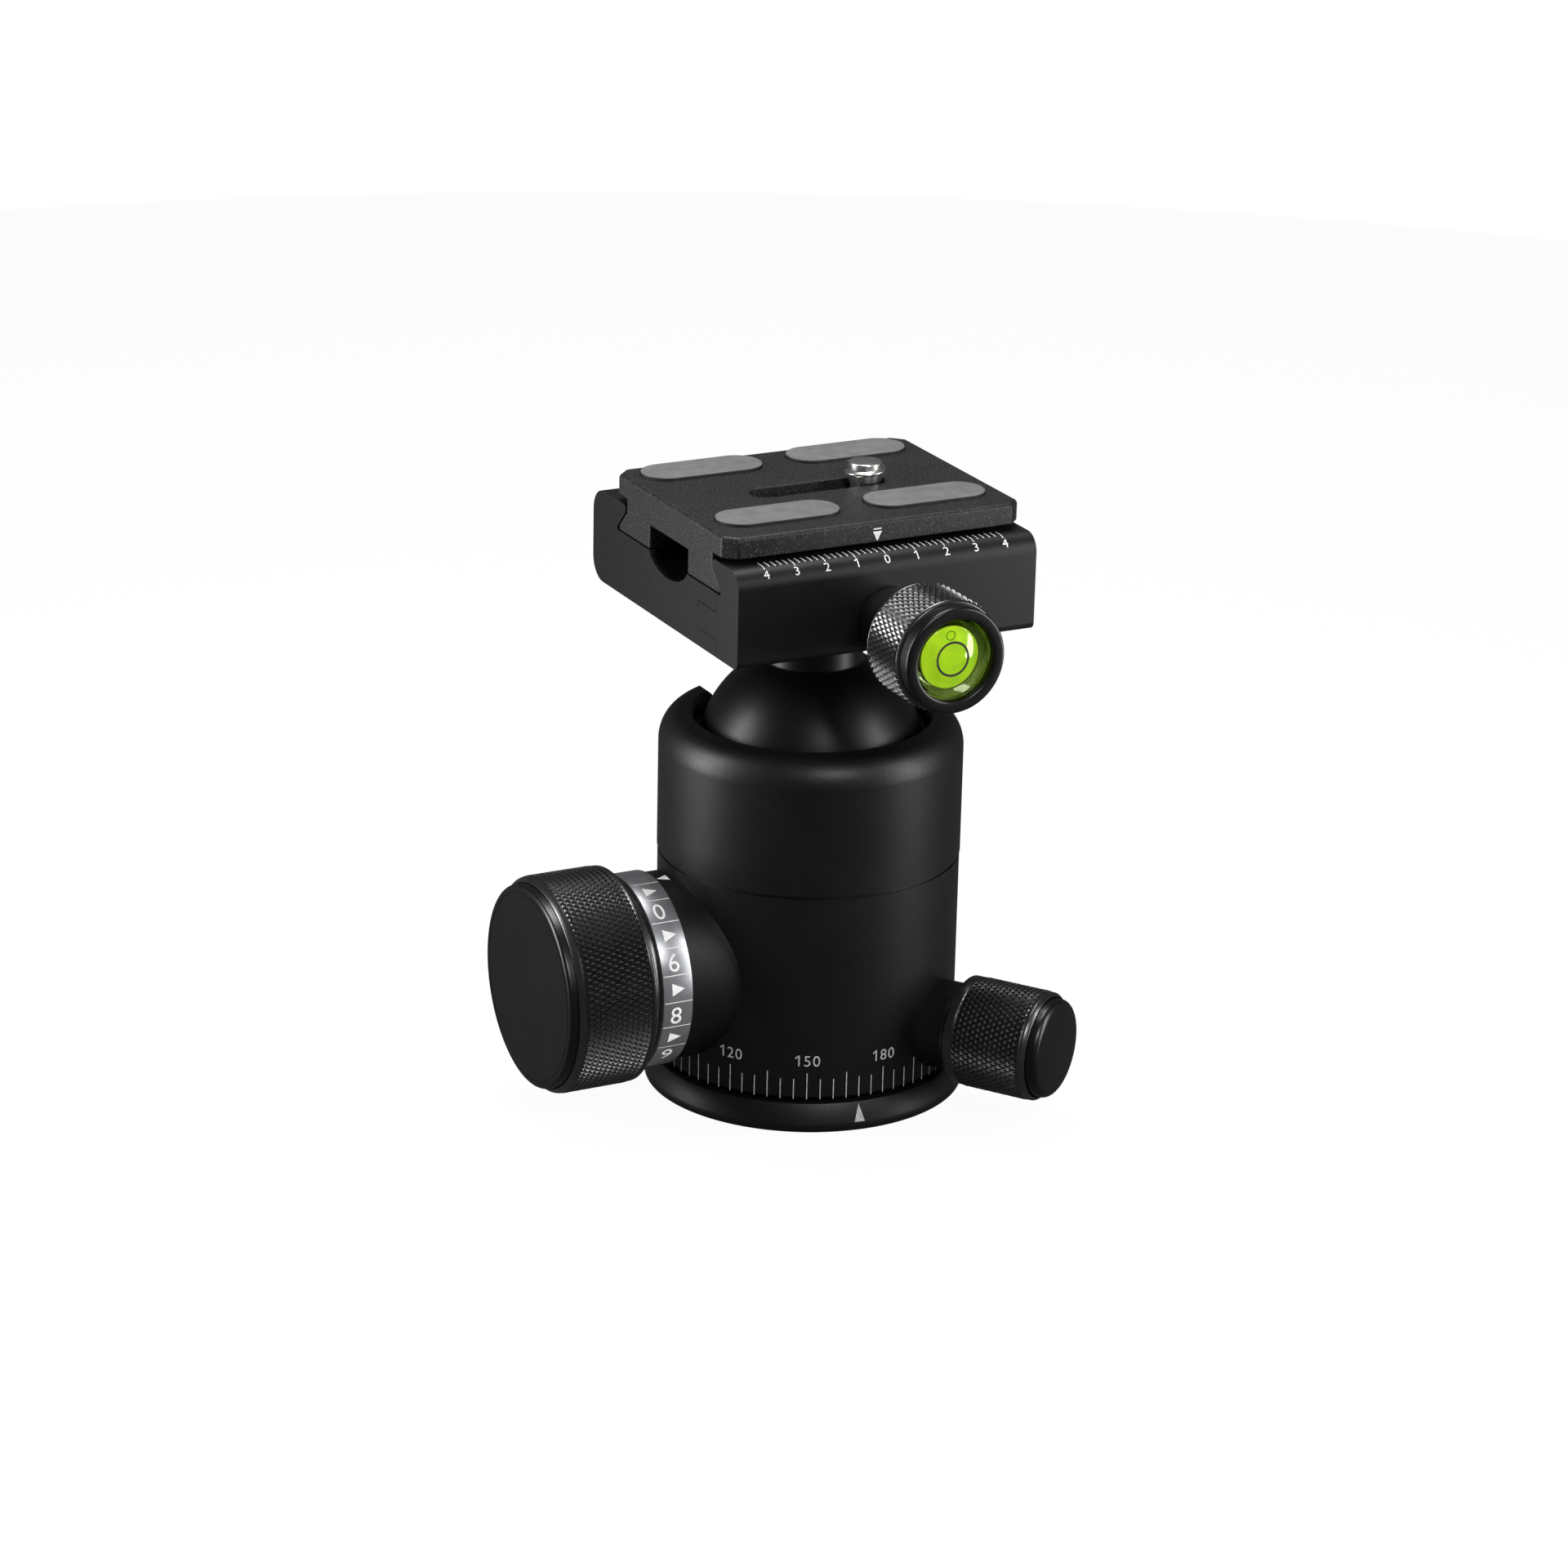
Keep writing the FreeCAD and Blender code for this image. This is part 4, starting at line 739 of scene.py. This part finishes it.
@dataclass
class Housing:
    """Barrel with its two bosses and degree scale, and the socket above the seam."""

    radius: float = 23.5
    bottom: float = 4.8
    scale_zero: float = 94.1
    tick: float = 0.15
    short_tick: float = 3.3
    long_tick: float = 4.3
    tick_foot: float = 0.15
    digit: float = 1.8
    digit_rise: float = 2.2
    boss_radius: float = 14.6
    lock_height: float = 21.8
    rim_start: float = 55.1
    rim_top: float = 58.7
    crown: float = 1.1
    boss_index: tuple[float, float] = (25.2, -0.6)
    boss_index_size: float = 1.9
    edge: float = 0.2
    nodes: dict = field(default_factory=dict)

    def build(self) -> None:
        """Mills the two housings from their CAD forms and prints their marks."""
        Shape().from_node(self.nodes["lower_housing"]).soften(self.edge, least=30.0).piece(
            "barrel", BLACK, "housing", "lower_housing", weigh=True)
        shell = Shape().from_node(self.nodes["upper_housing"])
        for vert in shell.bm.verts:
            vert.co.z += self.crown * max(vert.co.z - self.rim_start, 0.0) / (self.rim_top - self.rim_start)
        shell.soften(self.edge, least=30.0).piece(
            "socket_shell", BLACK, "housing", "upper_housing", weigh=True)
        carry(self.nodes, BEARING, "socket_collar")
        self.print_scale()
        self.print_boss_index()

    def print_scale(self) -> None:
        """Prints a tick each five degrees and a number each thirty."""
        marks = Marks()
        for degrees in range(0, 360, 5):
            u = math.radians(self.scale_zero + degrees) * self.radius
            tall = self.long_tick if degrees % 15 == 0 else self.short_tick
            marks.bar(u, self.bottom + self.tick_foot, self.tick, tall)
            if degrees % 30 == 0:
                marks.number(str(degrees), u, self.bottom + self.long_tick + self.digit_rise, self.digit)
        marks.wrap(drum(Matrix.Identity(4), self.radius), 1.2).piece(
            "degree_scale_print", THIN_PRINT, "housing")

    def print_boss_index(self) -> None:
        """Prints the triangle that reads the numbered ring."""
        frame = along(Vector((-1.0, 0.0, 0.0)), Vector((0.0, 0.0, self.lock_height)))
        size = self.boss_index_size
        Marks().wedge(*self.boss_index, size, size, -90.0).wrap(
            drum(frame, self.boss_radius, False), 0.6).piece("ring_index_print", PRINT, "housing")


@dataclass
class LockKnob:
    """Large knurled ball lock with its cap, spindle and the numbered friction ring."""

    height: float = 21.8
    collar: float = 14.6
    radius: float = 16.9
    spindle: float = 3.5
    collar_start: float = 31.9
    grip_span: tuple[float, float] = (33.4, 46.3)
    knurl_span: tuple[float, float] = (34.4, 45.3)
    knurl_depth: float = 0.38
    pocket: float = 15.95
    cap_radius: float = 15.85
    cap_span: tuple[float, float] = (44.6, 47.7)
    cap_line: float = 14.65
    cap_edge: float = 0.62
    ring_radius: float = 15.1
    ring_bore: float = 8.0
    ring_span: tuple[float, float] = (26.95, 31.85)
    ring_cell: float = 16.0
    ring_start: float = 17.5
    ring_digit: float = 2.9
    ring_wedge: tuple[float, float] = (2.0, 2.1)
    ring_line: float = 0.12
    ring_marks: tuple[str, ...] = ("", "0", "", "6", "", "8", "", "9")
    nodes: dict = field(default_factory=dict)

    def frame(self) -> Matrix:
        """Gives the knob's place on the head."""
        return along(Vector((-1.0, 0.0, 0.0)), Vector((0.0, 0.0, self.height)))

    def build(self) -> None:
        """Turns the grip, the cap and the ring, and prints the ring's marks."""
        radius, start = self.radius, self.collar_start
        near, far = self.grip_span
        seat, face = self.cap_span
        core = [(self.spindle, start), (self.collar, start), (self.collar, near), (radius - 0.55, near),
                (radius - 0.1, near + 0.4), (radius - 0.1, near + 0.9), (radius - 0.4, near + 1.1),
                (radius - 0.4, far - 1.1), (radius - 0.1, far - 0.9), (radius - 0.8, far), (self.pocket, far),
                (self.pocket, seat), (self.spindle, seat)]
        Shape().lathe(core).soften(0.12, least=20.0).knurl(
            radius, *self.knurl_span, depth=self.knurl_depth).move(self.frame()).piece(
            "lock_grip", KNURL, "lock_knob", "lock_knob_grip")
        cap = [(0.0, seat), (self.cap_radius, seat), (self.cap_radius, face)]
        cap += [(self.cap_line + step, face - dip) for step, dip in
                ((0.1, 0.0), (0.05, 0.08), (-0.05, 0.08), (-0.1, 0.0))] + [(0.0, face)]
        edge = above(face - 0.1, self.cap_radius - 0.35)
        Shape().lathe(cap, closed=False).soften(self.cap_edge, segments=5, pick=edge).move(
            self.frame()).piece("lock_cap", CAP, "lock_knob", "lock_knob_cap")
        carry(self.nodes, STEEL, "lock_spindle")
        Shape().lathe(washer(self.ring_bore, self.ring_radius, *self.ring_span)).soften(0.12).move(
            self.frame()).piece("numbered_ring", RING, "scale_ring", "friction_scale_ring")
        self.print_ring()

    def print_ring(self) -> None:
        """Prints dividers, triangles and digits round the ring. The digits stand along the ring."""
        near, far = self.ring_span
        marks = Marks()
        middle = (near + far) / 2 + 0.3
        for number, text in enumerate(self.ring_marks):
            v = -math.radians(self.ring_start + number * self.ring_cell) * self.ring_radius
            side = v + math.radians(self.ring_cell / 2) * self.ring_radius
            marks.bar(-(near + far) / 2, side, far - near - 0.3, self.ring_line)
            if text:
                marks.number(text, -middle, v, self.ring_digit)
            else:
                marks.wedge(-middle, v, *self.ring_wedge, -90.0)
        surface = drum(self.frame(), self.ring_radius, False)
        shape = marks.wrap(lambda u, v: surface(-u, v), 0.8)
        shape.piece("ring_scale_print", PRINT, "scale_ring", slot=Slot.RING)


@dataclass
class PanKnob:
    """Small knurled pan lock beside the barrel."""

    height: float = 13.0
    angle: float = -55.4
    collar: float = 7.4
    radius: float = 8.6
    screw: float = 3.0
    collar_start: float = 27.4
    grip_span: tuple[float, float] = (28.2, 42.3)
    knurl_span: tuple[float, float] = (30.0, 41.1)
    pocket: float = 7.95
    cap_radius: float = 7.75
    cap_span: tuple[float, float] = (41.0, 44.05)
    cap_edge: float = 1.1
    nodes: dict = field(default_factory=dict)

    def build(self) -> None:
        """Turns the grip and its cap, and dresses the screw and the shoe."""
        way = Vector((math.cos(math.radians(self.angle)), math.sin(math.radians(self.angle)), 0.0))
        frame = along(way, Vector((0.0, 0.0, self.height)))
        radius, start = self.radius, self.collar_start
        near, far = self.grip_span
        seat, face = self.cap_span
        core = [(self.screw, start), (self.collar, start), (self.collar, near), (radius - 0.45, near),
                (radius - 0.1, near + 0.3), (radius - 0.1, near + 1.7), (radius - 0.35, near + 1.9),
                (radius - 0.35, far - 1.3), (radius - 0.1, far - 1.1), (radius - 0.1, far - 0.6),
                (radius - 0.55, far), (self.pocket, far), (self.pocket, seat), (self.screw, seat)]
        Shape().lathe(core, segments=128).soften(0.08, least=20.0).knurl(
            radius, *self.knurl_span).move(frame).piece(
            "pan_grip", KNURL, "pan_knob", "pan_knob_grip")
        cap = [(0.0, seat), (self.cap_radius, seat), (self.cap_radius, face), (0.0, face)]
        Shape().lathe(cap, closed=False, segments=128).soften(
            self.cap_edge, segments=6, pick=above(face - 0.05)).move(frame).piece(
            "pan_cap", CAP, "pan_knob", "pan_knob_cap")
        carry(self.nodes, STEEL, "pan_lock_screw")
        carry(self.nodes, BEARING, "pan_brake_shoe")


@dataclass
class Ball:
    """Polished ball on its neck, with the brake that holds it."""

    centre: float = 52.8
    radius: float = 17.7
    neck: float = 7.7
    top: float = 77.05
    bore: float = 3.05
    bore_floor: float = 61.5
    nodes: dict = field(default_factory=dict)

    def build(self) -> None:
        """Turns the ball and neck in one, and dresses the brake."""
        steps = 72
        meet = math.asin(self.neck / self.radius)
        arc = [(self.radius * math.sin(turn), self.centre - self.radius * math.cos(turn))
               for turn in (step * (math.pi - meet) / steps for step in range(steps + 1))]
        outline = arc + [(self.neck, self.top), (self.bore, self.top), (self.bore, self.bore_floor),
                         (0.0, self.bore_floor)]
        Shape().lathe(outline, closed=False).soften(0.3, least=25.0).piece(
            "ball_and_neck", BALL, "ball", "ball_stem")
        carry(self.nodes, BEARING, "friction_liner")
        carry(self.nodes, PLAIN, "brake_cup", "lock_wedge_near", "lock_wedge_far")


@dataclass
class Clamp:
    """Dovetail clamp: body, moving jaw with its ruler, pins and springs."""

    half_length: float = 25.0
    round_centre: tuple[float, float] = (-21.1, 89.2)
    round_radius: float = 2.8
    floor: float = 87.0
    channel_depths: tuple[float, float] = (2.6, 5.0)
    channel_reach: float = 7.6
    key_span: tuple[float, float] = (18.0, 24.0)
    ticks: tuple[float, float] = (-0.75, -1.3)
    tick_end: float = 1.2
    tick: float = 0.14
    digit: float = 1.45
    digit_place: float = -2.2
    edge: float = 0.24
    end_round: float = 1.2
    end_round_front: float = -23.8
    nodes: dict = field(default_factory=dict)

    def build(self) -> None:
        """Mills the two halves from their CAD forms and prints the ruler."""
        body = Shape().from_node(self.nodes["clamp_body"])
        self.raise_channel(body)
        body.soften(self.edge, least=30.0).piece("fixed_jaw", BLACK, "clamp", "clamp_body", weigh=True)
        jaw = Shape().from_node(self.nodes["clamp_jaw"])
        # The bevel's own overlap limit keeps this round as narrow as the short edges beside it.
        jaw.soften(self.end_round, least=50.0, segments=5, pick=self.at_front_end)
        jaw.soften(self.edge, least=40.0).piece("moving_jaw", BLACK, "jaw", "clamp_jaw", weigh=True)
        carry(self.nodes, STEEL, "stem_screw", "jaw_springs", "jaw_guide_pins")
        self.print_ruler()

    def raise_channel(self, body: Shape) -> None:
        """Makes the channel under the plate as shallow as it looks from the end.

        Args:
            body: the clamp body, in mm.
        """
        shallow, deep = self.channel_depths
        low, high = self.key_span
        for vert in body.bm.verts:
            x, y, z = vert.co
            sunk = self.floor - z
            if abs(y) < self.channel_reach and 0.05 < sunk < deep + 0.05 and not low < abs(x) < high:
                vert.co.z = self.floor - sunk * shallow / deep

    def at_front_end(self, edge: bmesh.types.BMEdge) -> bool:
        """Tells whether an edge is on the outline of an end face, in front of the dovetail."""
        return all(abs(vert.co.x) > self.half_length - 0.15 and vert.co.y < self.end_round_front
                   for vert in edge.verts)

    def surface(self, u: float, v: float) -> Vector:
        """Lays a point on the jaw's top and round.

        Args:
            u: place along the jaw, in mm.
            v: place behind the round's top, or down the round where negative, in mm.

        Returns:
            The point on the jaw.
        """
        y, z = self.round_centre
        reach = self.round_radius + PROUD
        if v >= 0:
            return Vector((u, y + v, z + reach))
        turn = -v / self.round_radius
        return Vector((u, y - reach * math.sin(turn), z + reach * math.cos(turn)))

    def print_ruler(self) -> None:
        """Prints forty millimetres, twenty each way from the middle, with a number each five."""
        marks = Marks()
        short, long = self.ticks
        for place in range(-20, 21):
            foot = long if place % 5 == 0 else short
            marks.bar(float(place), foot, self.tick, self.tick_end - foot)
            if place % 5 == 0:
                marks.number(str(abs(place) // 5), place - 0.05, self.digit_place, self.digit)
        marks.wrap(self.surface, 0.35).piece("ruler_print", PRINT, "jaw")


@dataclass
class ClampKnob:
    """Knurled clamp knob with a round level in its end."""

    height: float = 81.9
    collar: float = 5.2
    radius: float = 8.75
    screw: float = 3.0
    collar_start: float = 24.0
    grip_span: tuple[float, float] = (33.1, 42.7)
    knurl_span: tuple[float, float] = (33.7, 42.2)
    pocket: tuple[float, float] = (6.95, 37.2)
    bezel: float = 8.1
    bezel_face: float = 45.0
    bezel_edge: float = 0.45
    window: float = 6.2
    circle: float = 2.7
    circle_line: float = 0.34
    skin_line: float = 0.14
    vial: tuple[float, float, float] = (6.9, 38.0, 43.9)
    spirit: tuple[float, float, float] = (4.9, 38.6, 42.6)
    bubble: tuple[float, float] = (0.75, 3.3)
    nodes: dict = field(default_factory=dict)

    def build(self) -> None:
        """Turns the grip and the bezel, and dresses the level."""
        frame = along(Vector((0.0, -1.0, 0.0)), Vector((0.0, 0.0, self.height)))
        radius, start = self.radius, self.collar_start
        near, far = self.grip_span
        pocket, seat = self.pocket
        core = [(self.screw, start), (self.collar, start), (self.collar, near), (radius - 0.4, near),
                (radius - 0.15, near + 0.25), (radius - 0.15, near + 0.5), (radius - 0.35, near + 0.7),
                (radius - 0.35, far - 0.6), (radius - 0.15, far - 0.4), (radius - 0.45, far), (pocket, far),
                (pocket, seat), (self.screw, seat)]
        Shape().lathe(core, segments=128).soften(0.08, least=20.0).knurl(
            radius, *self.knurl_span).move(frame).piece(
            "clamp_grip", KNURL, "clamp_knob", "clamp_knob_grip")
        vial, _, lip = self.vial
        ring = [(self.window, lip), (vial, lip), (vial, far), (self.bezel, far),
                (self.bezel, self.bezel_face), (self.window, self.bezel_face)]
        Shape().lathe(ring, segments=128).soften(
            self.bezel_edge, segments=5, pick=above(self.bezel_face - 0.1)).move(frame).piece(
            "level_frame", CAP, "clamp_knob", "level_bezel")
        self.build_vial(frame)
        carry(self.nodes, STEEL, "clamp_screw")
        carry(self.nodes, WHITE, "level_backing")

    def build_vial(self, frame: Matrix) -> None:
        """Casts the clear vial and fills it: spirit, bubble and target circle.

        Args:
            frame: the knob's place on the head.
        """
        radius, floor, top = self.vial
        neck, shoulder = self.window - 0.05, self.grip_span[1]
        inside, low, high = self.spirit
        cavity = Shape().lathe([(0.0, low), (inside, low), (inside, high - 0.5), (inside - 0.15, high - 0.15),
                                (inside - 0.5, high), (0.0, high)], closed=False, segments=96)
        bmesh.ops.reverse_faces(cavity.bm, faces=cavity.bm.faces[:])
        block = [(0.0, floor), (radius, floor), (radius, shoulder), (neck, shoulder), (neck, top - 0.5),
                 (neck - 0.35, top - 0.12), (neck - 0.95, top), (0.0, top)]
        Shape().lathe(block, closed=False, segments=96).join(cavity.bm).move(frame).piece(
            "level_glass", ACRYLIC, "clamp_knob", "level_vial", smooth=25.0)
        spirit = [(0.0, low + 0.05), (inside - 0.05, low + 0.05), (inside - 0.05, high - 0.55),
                  (inside - 0.2, high - 0.2), (inside - 0.55, high - 0.05), (0.0, high - 0.05)]
        Shape().lathe(spirit, closed=False, segments=96).move(frame).piece(
            "level_spirit", FLUID, "clamp_knob", "level_fluid", smooth=50.0)
        reach, rise = self.bubble
        skin = washer(reach - self.skin_line, reach, high - 0.04, high - 0.02)
        Shape().lathe(skin, segments=48).move(frame @ Matrix.Translation((rise, 0.0, 0.0))).piece(
            "level_bubble", BUBBLE, "clamp_knob")
        target = washer(self.circle - self.circle_line, self.circle, top, top + PROUD)
        Shape().lathe(target, segments=96).move(frame).piece(
            "level_circle_print", BLACK_PRINT, "clamp_knob")


@dataclass
class CameraPlate:
    """Sliding camera plate with its pads, screw, washer and pull ring."""

    front: float = -19.7
    pad_length: float = 19.8
    pad_radius: float = 3.9
    pad_foot: float = 95.15
    pad_top: float = 96.55
    pad_edge: float = 0.14
    pad_columns: tuple[float, float] = (12.4, -12.4)
    pad_rows: tuple[float, float] = (14.6, -11.2)
    screw_x: float = 8.2
    thread_radius: float = 3.175
    thread_pitch: float = 1.27
    thread_depth: float = 0.6
    tip: float = 0.1
    thread_span: tuple[float, float] = (96.1, 98.95)
    head_radius: float = 5.6
    head_span: tuple[float, float] = (86.3, 89.8)
    neck: float = 2.3
    index_height: float = 93.95
    index_bar: float = 94.75
    index_size: float = 1.5
    edge: float = 0.26
    nodes: dict = field(default_factory=dict)

    def build(self) -> None:
        """Mills the plate, moulds the pads and cuts the camera screw."""
        Shape().from_node(self.nodes["quick_release_plate"]).soften(self.edge, least=30.0, segments=3).piece(
            "camera_plate", PLATE, "plate", "quick_release_plate", weigh=True)
        self.build_pads()
        self.build_screw()
        carry(self.nodes, STEEL, "screw_washer", "screw_pull_ring")
        self.print_index()

    def build_pads(self) -> None:
        """Moulds four pads with round ends and a small edge round."""
        shape = Shape()
        for x, y in ((x, y) for y in self.pad_rows for x in self.pad_columns):
            disc = bmesh.new()
            bmesh.ops.create_circle(disc, cap_ends=True, radius=self.pad_radius, segments=96)
            for vert in disc.verts:
                vert.co.x += math.copysign(self.pad_length / 2 - self.pad_radius, vert.co.x)
            grown = bmesh.ops.extrude_face_region(disc, geom=disc.faces[:])["geom"]
            bmesh.ops.translate(disc, vec=(0.0, 0.0, self.pad_top - self.pad_foot),
                                verts=[item for item in grown if isinstance(item, bmesh.types.BMVert)])
            bmesh.ops.translate(disc, vec=(x, y, self.pad_foot), verts=disc.verts[:])
            shape.join(disc)
        shape.clean()
        shape.soften(self.pad_edge, segments=4, pick=above(self.pad_top - 0.01)).piece(
            "soft_pads", RUBBER, "plate", "rubber_pads")

    def build_screw(self) -> None:
        """Turns the screw's head and core, and winds its thread."""
        low, high = self.thread_span
        foot, top = self.head_span
        crest = self.thread_radius
        root = crest - self.thread_depth
        core = [(0.0, foot), (self.head_radius, foot), (self.head_radius, top), (self.neck, top),
                (self.neck, low), (root, low), (root, high - self.tip / 2), (root - 0.12, high + self.tip),
                (0.0, high + self.tip)]
        shape = Shape().lathe(core, closed=False, segments=96).soften(0.1, least=20.0)
        ridge = bmesh.new()
        turns = (high - low - self.thread_pitch) / self.thread_pitch + 0.15
        steps = round(turns * 72)
        half = self.thread_pitch / 2
        upper = [(root - 0.1, half * 0.8), (crest - 0.1, 0.22), (crest, 0.1)]
        section = upper + [(radius, -height) for radius, height in reversed(upper)]
        corners = [ridge.verts.new((radius, 0.0, low + half + height)) for radius, height in section]
        edges = [ridge.edges.new(pair) for pair in zip(corners, corners[1:] + corners[:1])]
        ridge.faces.new(corners)
        bmesh.ops.spin(ridge, geom=corners + edges + ridge.faces[:], cent=(0.0, 0.0, 0.0),
                       axis=(0.0, 0.0, 1.0), dvec=(0.0, 0.0, self.thread_pitch * turns / steps),
                       angle=math.tau * turns, steps=steps, use_merge=False, use_normal_flip=False,
                       use_duplicate=False)
        bmesh.ops.recalc_face_normals(ridge, faces=ridge.faces[:])
        shape.join(ridge).move(Matrix.Translation((self.screw_x, 0.0, 0.0))).piece(
            "quarter_inch_screw", STEEL, "camera_screw", "camera_screw", smooth=40.0)

    def print_index(self) -> None:
        """Prints the triangle that reads the ruler, with a bar over it."""
        size = self.index_size
        marks = Marks().wedge(0.0, self.index_height, size, size, 180.0).bar(0.0, self.index_bar, 1.3, 0.2)
        marks.wrap(lambda u, v: Vector((u, self.front - PROUD, v)), 2.0).piece(
            "plate_index_print", PRINT, "plate")


@dataclass
class Studio:
    """White room, three soft lamps and the camera."""

    eye: tuple[float, float, float] = (-0.3355, -0.6422, 0.3119)
    right: tuple[float, float, float] = (0.89223, -0.45107, 0.02145)
    up: tuple[float, float, float] = (0.13658, 0.31481, 0.93928)
    back: tuple[float, float, float] = (-0.43043, -0.83512, 0.34249)
    lens: float = 114.22
    ambient: float = 0.22
    mirrored: float = 0.07
    floor_radius: float = 0.6
    floor_drop: float = 0.0002
    seen_share: float = 0.95
    mirrored_share: float = 0.97
    lamps: tuple[tuple[str, tuple[float, float, float], float, float, float], ...] = (
        ("left_strip", (-0.225, 0.08, 0.11), 0.06, 0.21, 0.85),
        ("right_strip", (0.175, -0.155, 0.11), 0.06, 0.21, 0.55),
        ("front_panel", (-0.05, -0.55, 0.45), 0.14, 0.14, 2.2),
        ("overhead_panel", (0.03, 0.1, 0.55), 0.2, 0.2, 2.6))
    # A lamp below this height is aimed level, and a higher one at the head's middle.
    level_below: float = 0.2
    middle: float = 0.06

    def background(self, tree: bpy.types.NodeTree) -> bpy.types.NodeSocket:
        """Adds the strength of the white background for each kind of ray.

        Args:
            tree: the world's or the floor's node tree.

        Returns:
            One for the camera, less for reflections, and the ambient level for soft light.
        """
        rays = add_node(tree, "ShaderNodeLightPath").outputs
        total = add_node(tree, "ShaderNodeMath", {0: self.ambient, 1: 0.0}).outputs[0]
        for name, level in (("Is Camera Ray", 1.0), ("Is Glossy Ray", self.mirrored),
                            ("Is Transmission Ray", self.mirrored)):
            total = add_node(tree, "ShaderNodeMath", {1: level - self.ambient}, {0: rays[name], 2: total},
                             operation="MULTIPLY_ADD").outputs[0]
        return total

    def build(self) -> None:
        """Sets the world, the floor, the lamps and the camera."""
        world = bpy.data.worlds.new("white_room")
        world.use_nodes = True
        bpy.context.scene.world = world
        tree = world.node_tree
        tree.links.new(self.background(tree), tree.nodes["Background"].inputs["Strength"])
        tree.nodes["Background"].inputs["Color"].default_value = linear("#ffffff")
        self.build_floor()
        for lamp in self.lamps:
            self.add_lamp(*lamp)
        self.build_camera()
        bpy.context.scene.view_settings.view_transform = "Standard"

    def build_floor(self) -> None:
        """Lays a pale floor that shows white and keeps the head's shadow."""
        bm = bmesh.new()
        bmesh.ops.create_circle(bm, cap_ends=True, radius=self.floor_radius, segments=96)
        mesh = bpy.data.meshes.new("floor")
        bm.to_mesh(mesh)
        bm.free()
        floor = bpy.data.objects.new("floor", mesh)
        floor.location = (0.0, 0.0, -self.floor_drop)
        bpy.context.scene.collection.objects.link(floor)
        material = bpy.data.materials.new("white_table")
        material.use_nodes = True
        tree = material.node_tree
        tree.nodes.remove(tree.nodes["Principled BSDF"])
        paper = add_node(tree, "ShaderNodeBsdfDiffuse", {"Color": linear("#e6e6e6")})
        glow = add_node(tree, "ShaderNodeEmission", {"Color": linear("#ffffff"), "Strength": 1.0})
        rays = add_node(tree, "ShaderNodeLightPath").outputs
        share = add_node(tree, "ShaderNodeMath", {1: self.seen_share}, {0: rays["Is Camera Ray"]},
                         operation="MULTIPLY")
        tree.links.new(self.background(tree), glow.inputs["Strength"])
        for name in ("Is Glossy Ray", "Is Transmission Ray"):
            share = add_node(tree, "ShaderNodeMath", {1: self.mirrored_share},
                             {0: rays[name], 2: share.outputs[0]}, operation="MULTIPLY_ADD")
        mix = add_node(tree, "ShaderNodeMixShader", links={0: share.outputs[0], 1: paper.outputs[0],
                                                           2: glow.outputs[0]})
        tree.links.new(mix.outputs[0], tree.nodes["Material Output"].inputs["Surface"])
        mesh.materials.append(material)

    def add_lamp(self, name: str, place: tuple[float, float, float], width: float, height: float,
                 power: float) -> None:
        """Adds a soft rectangular lamp aimed at the head.

        Args:
            name: the lamp's name.
            place: its place, in metres.
            width: its width, in metres.
            height: its height, in metres.
            power: its power, in watts.
        """
        light = bpy.data.lights.new(name, "AREA")
        light.shape = "RECTANGLE"
        light.size = width
        light.size_y = height
        light.energy = power
        lamp = bpy.data.objects.new(name, light)
        lamp.location = place
        lamp.visible_camera = False
        height_aimed = place[2] if place[2] < self.level_below else self.middle
        aim = Vector((0.0, 0.0, height_aimed)) - Vector(place)
        lamp.rotation_euler = aim.to_track_quat("-Z", "Y").to_euler()
        bpy.context.scene.collection.objects.link(lamp)

    def build_camera(self) -> None:
        """Sets the camera where the photograph was taken from."""
        lens = bpy.data.cameras.new("camera")
        lens.lens = self.lens
        lens.sensor_width = 36.0
        lens.clip_start = 0.05
        lens.clip_end = 20.0
        camera = bpy.data.objects.new("camera", lens)
        turn = Matrix((self.right, self.up, self.back)).transposed().to_4x4()
        camera.matrix_world = Matrix.Translation(self.eye) @ turn
        bpy.context.scene.collection.objects.link(camera)
        bpy.context.scene.camera = camera


def main() -> None:
    """Builds the head's sub-assemblies in order, then the studio."""
    logging.basicConfig(level=logging.INFO, format="%(message)s")
    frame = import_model()
    nodes = frame["nodes"]
    for assembly in (PanBase, Housing, LockKnob, PanKnob, Ball, Clamp, ClampKnob, CameraPlate):
        LOG.info("building %s", assembly.__name__)
        assembly(nodes=nodes).build()
    Studio().build()


if __name__ == "__main__":
    main()
